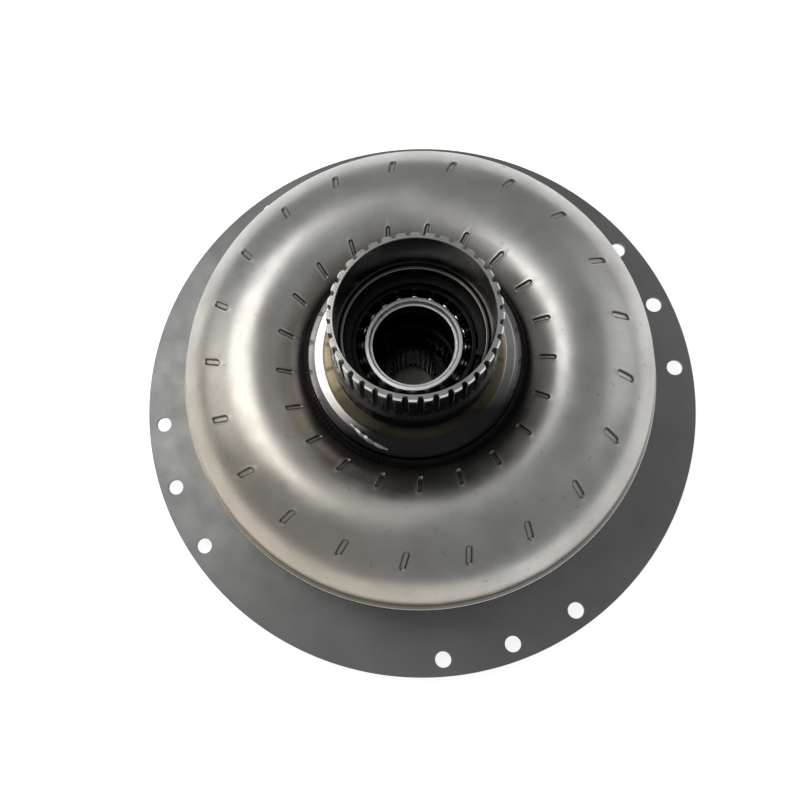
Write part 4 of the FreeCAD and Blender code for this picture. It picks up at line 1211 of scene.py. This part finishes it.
@dataclass
class InnerPieces:
    """Pieces sealed inside the shells, which keep their CAD shapes."""

    def build(self) -> None:
        """Dress each of them by its material slot."""
        finishes = {"bearing_steel": OILED_BEARING_IN_PAINTED_SHADE, "blade_steel": OILED_SHEET,
                    "machined_steel": OILED_TURNED_IN_PAINTED_SHADE, "cast_aluminium": CAST_ALUMINIUM,
                    "spring_steel": PHOSPHATED_SPRING, "thrust_plastic": MOULDED_NYLON,
                    "cage_steel": CAGE_STEEL}
        for part in frame["record"]["subparts"]:
            node = frame["nodes"][part["node"]]
            if not node.hide_render:
                dress(node, finishes[part["material_slot"]])
                log.info("%s keeps its own shape", node.name)


@dataclass(frozen=True)
class SoftLight:
    """Square light, placed in the camera's own heading. Sizes in metres and watts."""

    name: str
    place: tuple[float, float, float]
    size: float
    power: float
    level: bool = False


@dataclass
class Studio:
    """Camera, floor and lights. Sizes in metres and degrees."""

    azimuth: float = 22.5
    elevation: float = 76.509
    roll: float = 0.987
    distance: float = 0.6592
    sensor: float = 36.0
    lens: float = 38.295
    shift: tuple[float, float] = (0.111675, 0.033125)
    slope: tuple[float, float] = (0.119753, -0.035018)
    floor_reach: float = 6.0
    floor_glow: float = 0.7
    light_aim: float = 0.08
    sky_strength: float = 0.57
    lights: tuple[SoftLight, ...] = (
        SoftLight("overhead", (-0.36, 0.17, 0.75), 0.46, 1.85, level=True),
        SoftLight("side", (-1.2, 0.2, 0.75), 0.8, 2.2),
        SoftLight("right", (1.4, 0.5, 0.9), 1.2, 2.6))

    def build(self) -> None:
        """Set up the whole studio."""
        self._camera()
        self._floor()
        self._lights()

    def _camera(self) -> None:
        """Camera above the part, turned so that the axis has its slope off the lens."""
        turn, rise, roll = (math.radians(x) for x in
                            (self.azimuth, self.elevation, self.roll))
        back = Vector((math.sin(turn) * math.cos(rise), -math.cos(turn) * math.cos(rise),
                       math.sin(rise)))
        right = Vector((math.cos(turn), math.sin(turn), 0))
        up = back.cross(right)
        looking = Matrix((right, -up, -back))
        sight = Vector((*self.slope, 1))
        swing = Vector((0, 0, 1)).rotation_difference(sight).to_matrix()
        world_to_view = swing @ Matrix.Rotation(roll, 3, "Z") @ looking
        axes = Matrix((world_to_view[0], -world_to_view[1], -world_to_view[2])).transposed()
        camera = bpy.data.objects.new("camera", bpy.data.cameras.new("camera"))
        bpy.context.scene.collection.objects.link(camera)
        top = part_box("flex_plate")[1].z
        camera.matrix_world = Matrix.Translation(
            back * self.distance + Vector((0, 0, top))) @ axes.to_4x4()
        camera.data.sensor_width = self.sensor
        camera.data.lens = self.lens
        camera.data.shift_x, camera.data.shift_y = self.shift
        camera.data.clip_start = 0.01
        bpy.context.scene.camera = camera

    def _floor(self) -> None:
        """Pale floor that the part stands on."""
        mesh = bpy.data.meshes.new("floor")
        size, level = self.floor_reach, CAD_BOX[0][2]
        mesh.from_pydata([(-size, -size, level), (size, -size, level),
                          (size, size, level), (-size, size, level)], [], [(0, 1, 2, 3)])
        floor = bpy.data.objects.new("floor", mesh)
        bpy.context.scene.collection.objects.link(floor)
        material = bpy.data.materials.new("pale_floor")
        material.use_nodes = True
        shader = material.node_tree.nodes["Principled BSDF"]
        shader.inputs["Base Color"].default_value = srgb("#F6F6F5")
        shader.inputs["Roughness"].default_value = 0.9
        shader.inputs["Emission Color"].default_value = srgb("#FFFFFF")
        shader.inputs["Emission Strength"].default_value = self.floor_glow
        mesh.materials.append(material)

    def _lights(self) -> None:
        """Soft box close over one side, a panel on each side, and a dim world."""
        heading = math.radians(self.azimuth)
        for light in self.lights:
            data = bpy.data.lights.new(light.name, "AREA")
            data.size, data.energy = light.size, light.power
            lamp = bpy.data.objects.new(light.name, data)
            lamp.location = Matrix.Rotation(heading, 3, "Z") @ Vector(light.place)
            aim = Vector((0, 0, self.light_aim)) - lamp.location
            lamp.rotation_euler = (0, 0, heading) if light.level else \
                aim.to_track_quat("-Z", "Y").to_euler()
            bpy.context.scene.collection.objects.link(lamp)
        world = bpy.data.worlds.new("studio")
        world.use_nodes = True
        sky = world.node_tree.nodes["Background"]
        sky.inputs["Color"].default_value = srgb("#C9CCD0")
        sky.inputs["Strength"].default_value = self.sky_strength
        bpy.context.scene.world = world
        bpy.context.scene.view_settings.view_transform = "Standard"


def main() -> None:
    """Build every sub-assembly."""
    logging.basicConfig(level=logging.INFO, format="%(message)s")
    for assembly in (FlexPlateSet(), CoverSet(), PumpShell(), ImpellerHub(),
                     HubBearing(), InnerPieces(), Studio()):
        assembly.build()
        log.info("%s built", type(assembly).__name__)


if __name__ == "__main__":
    main()
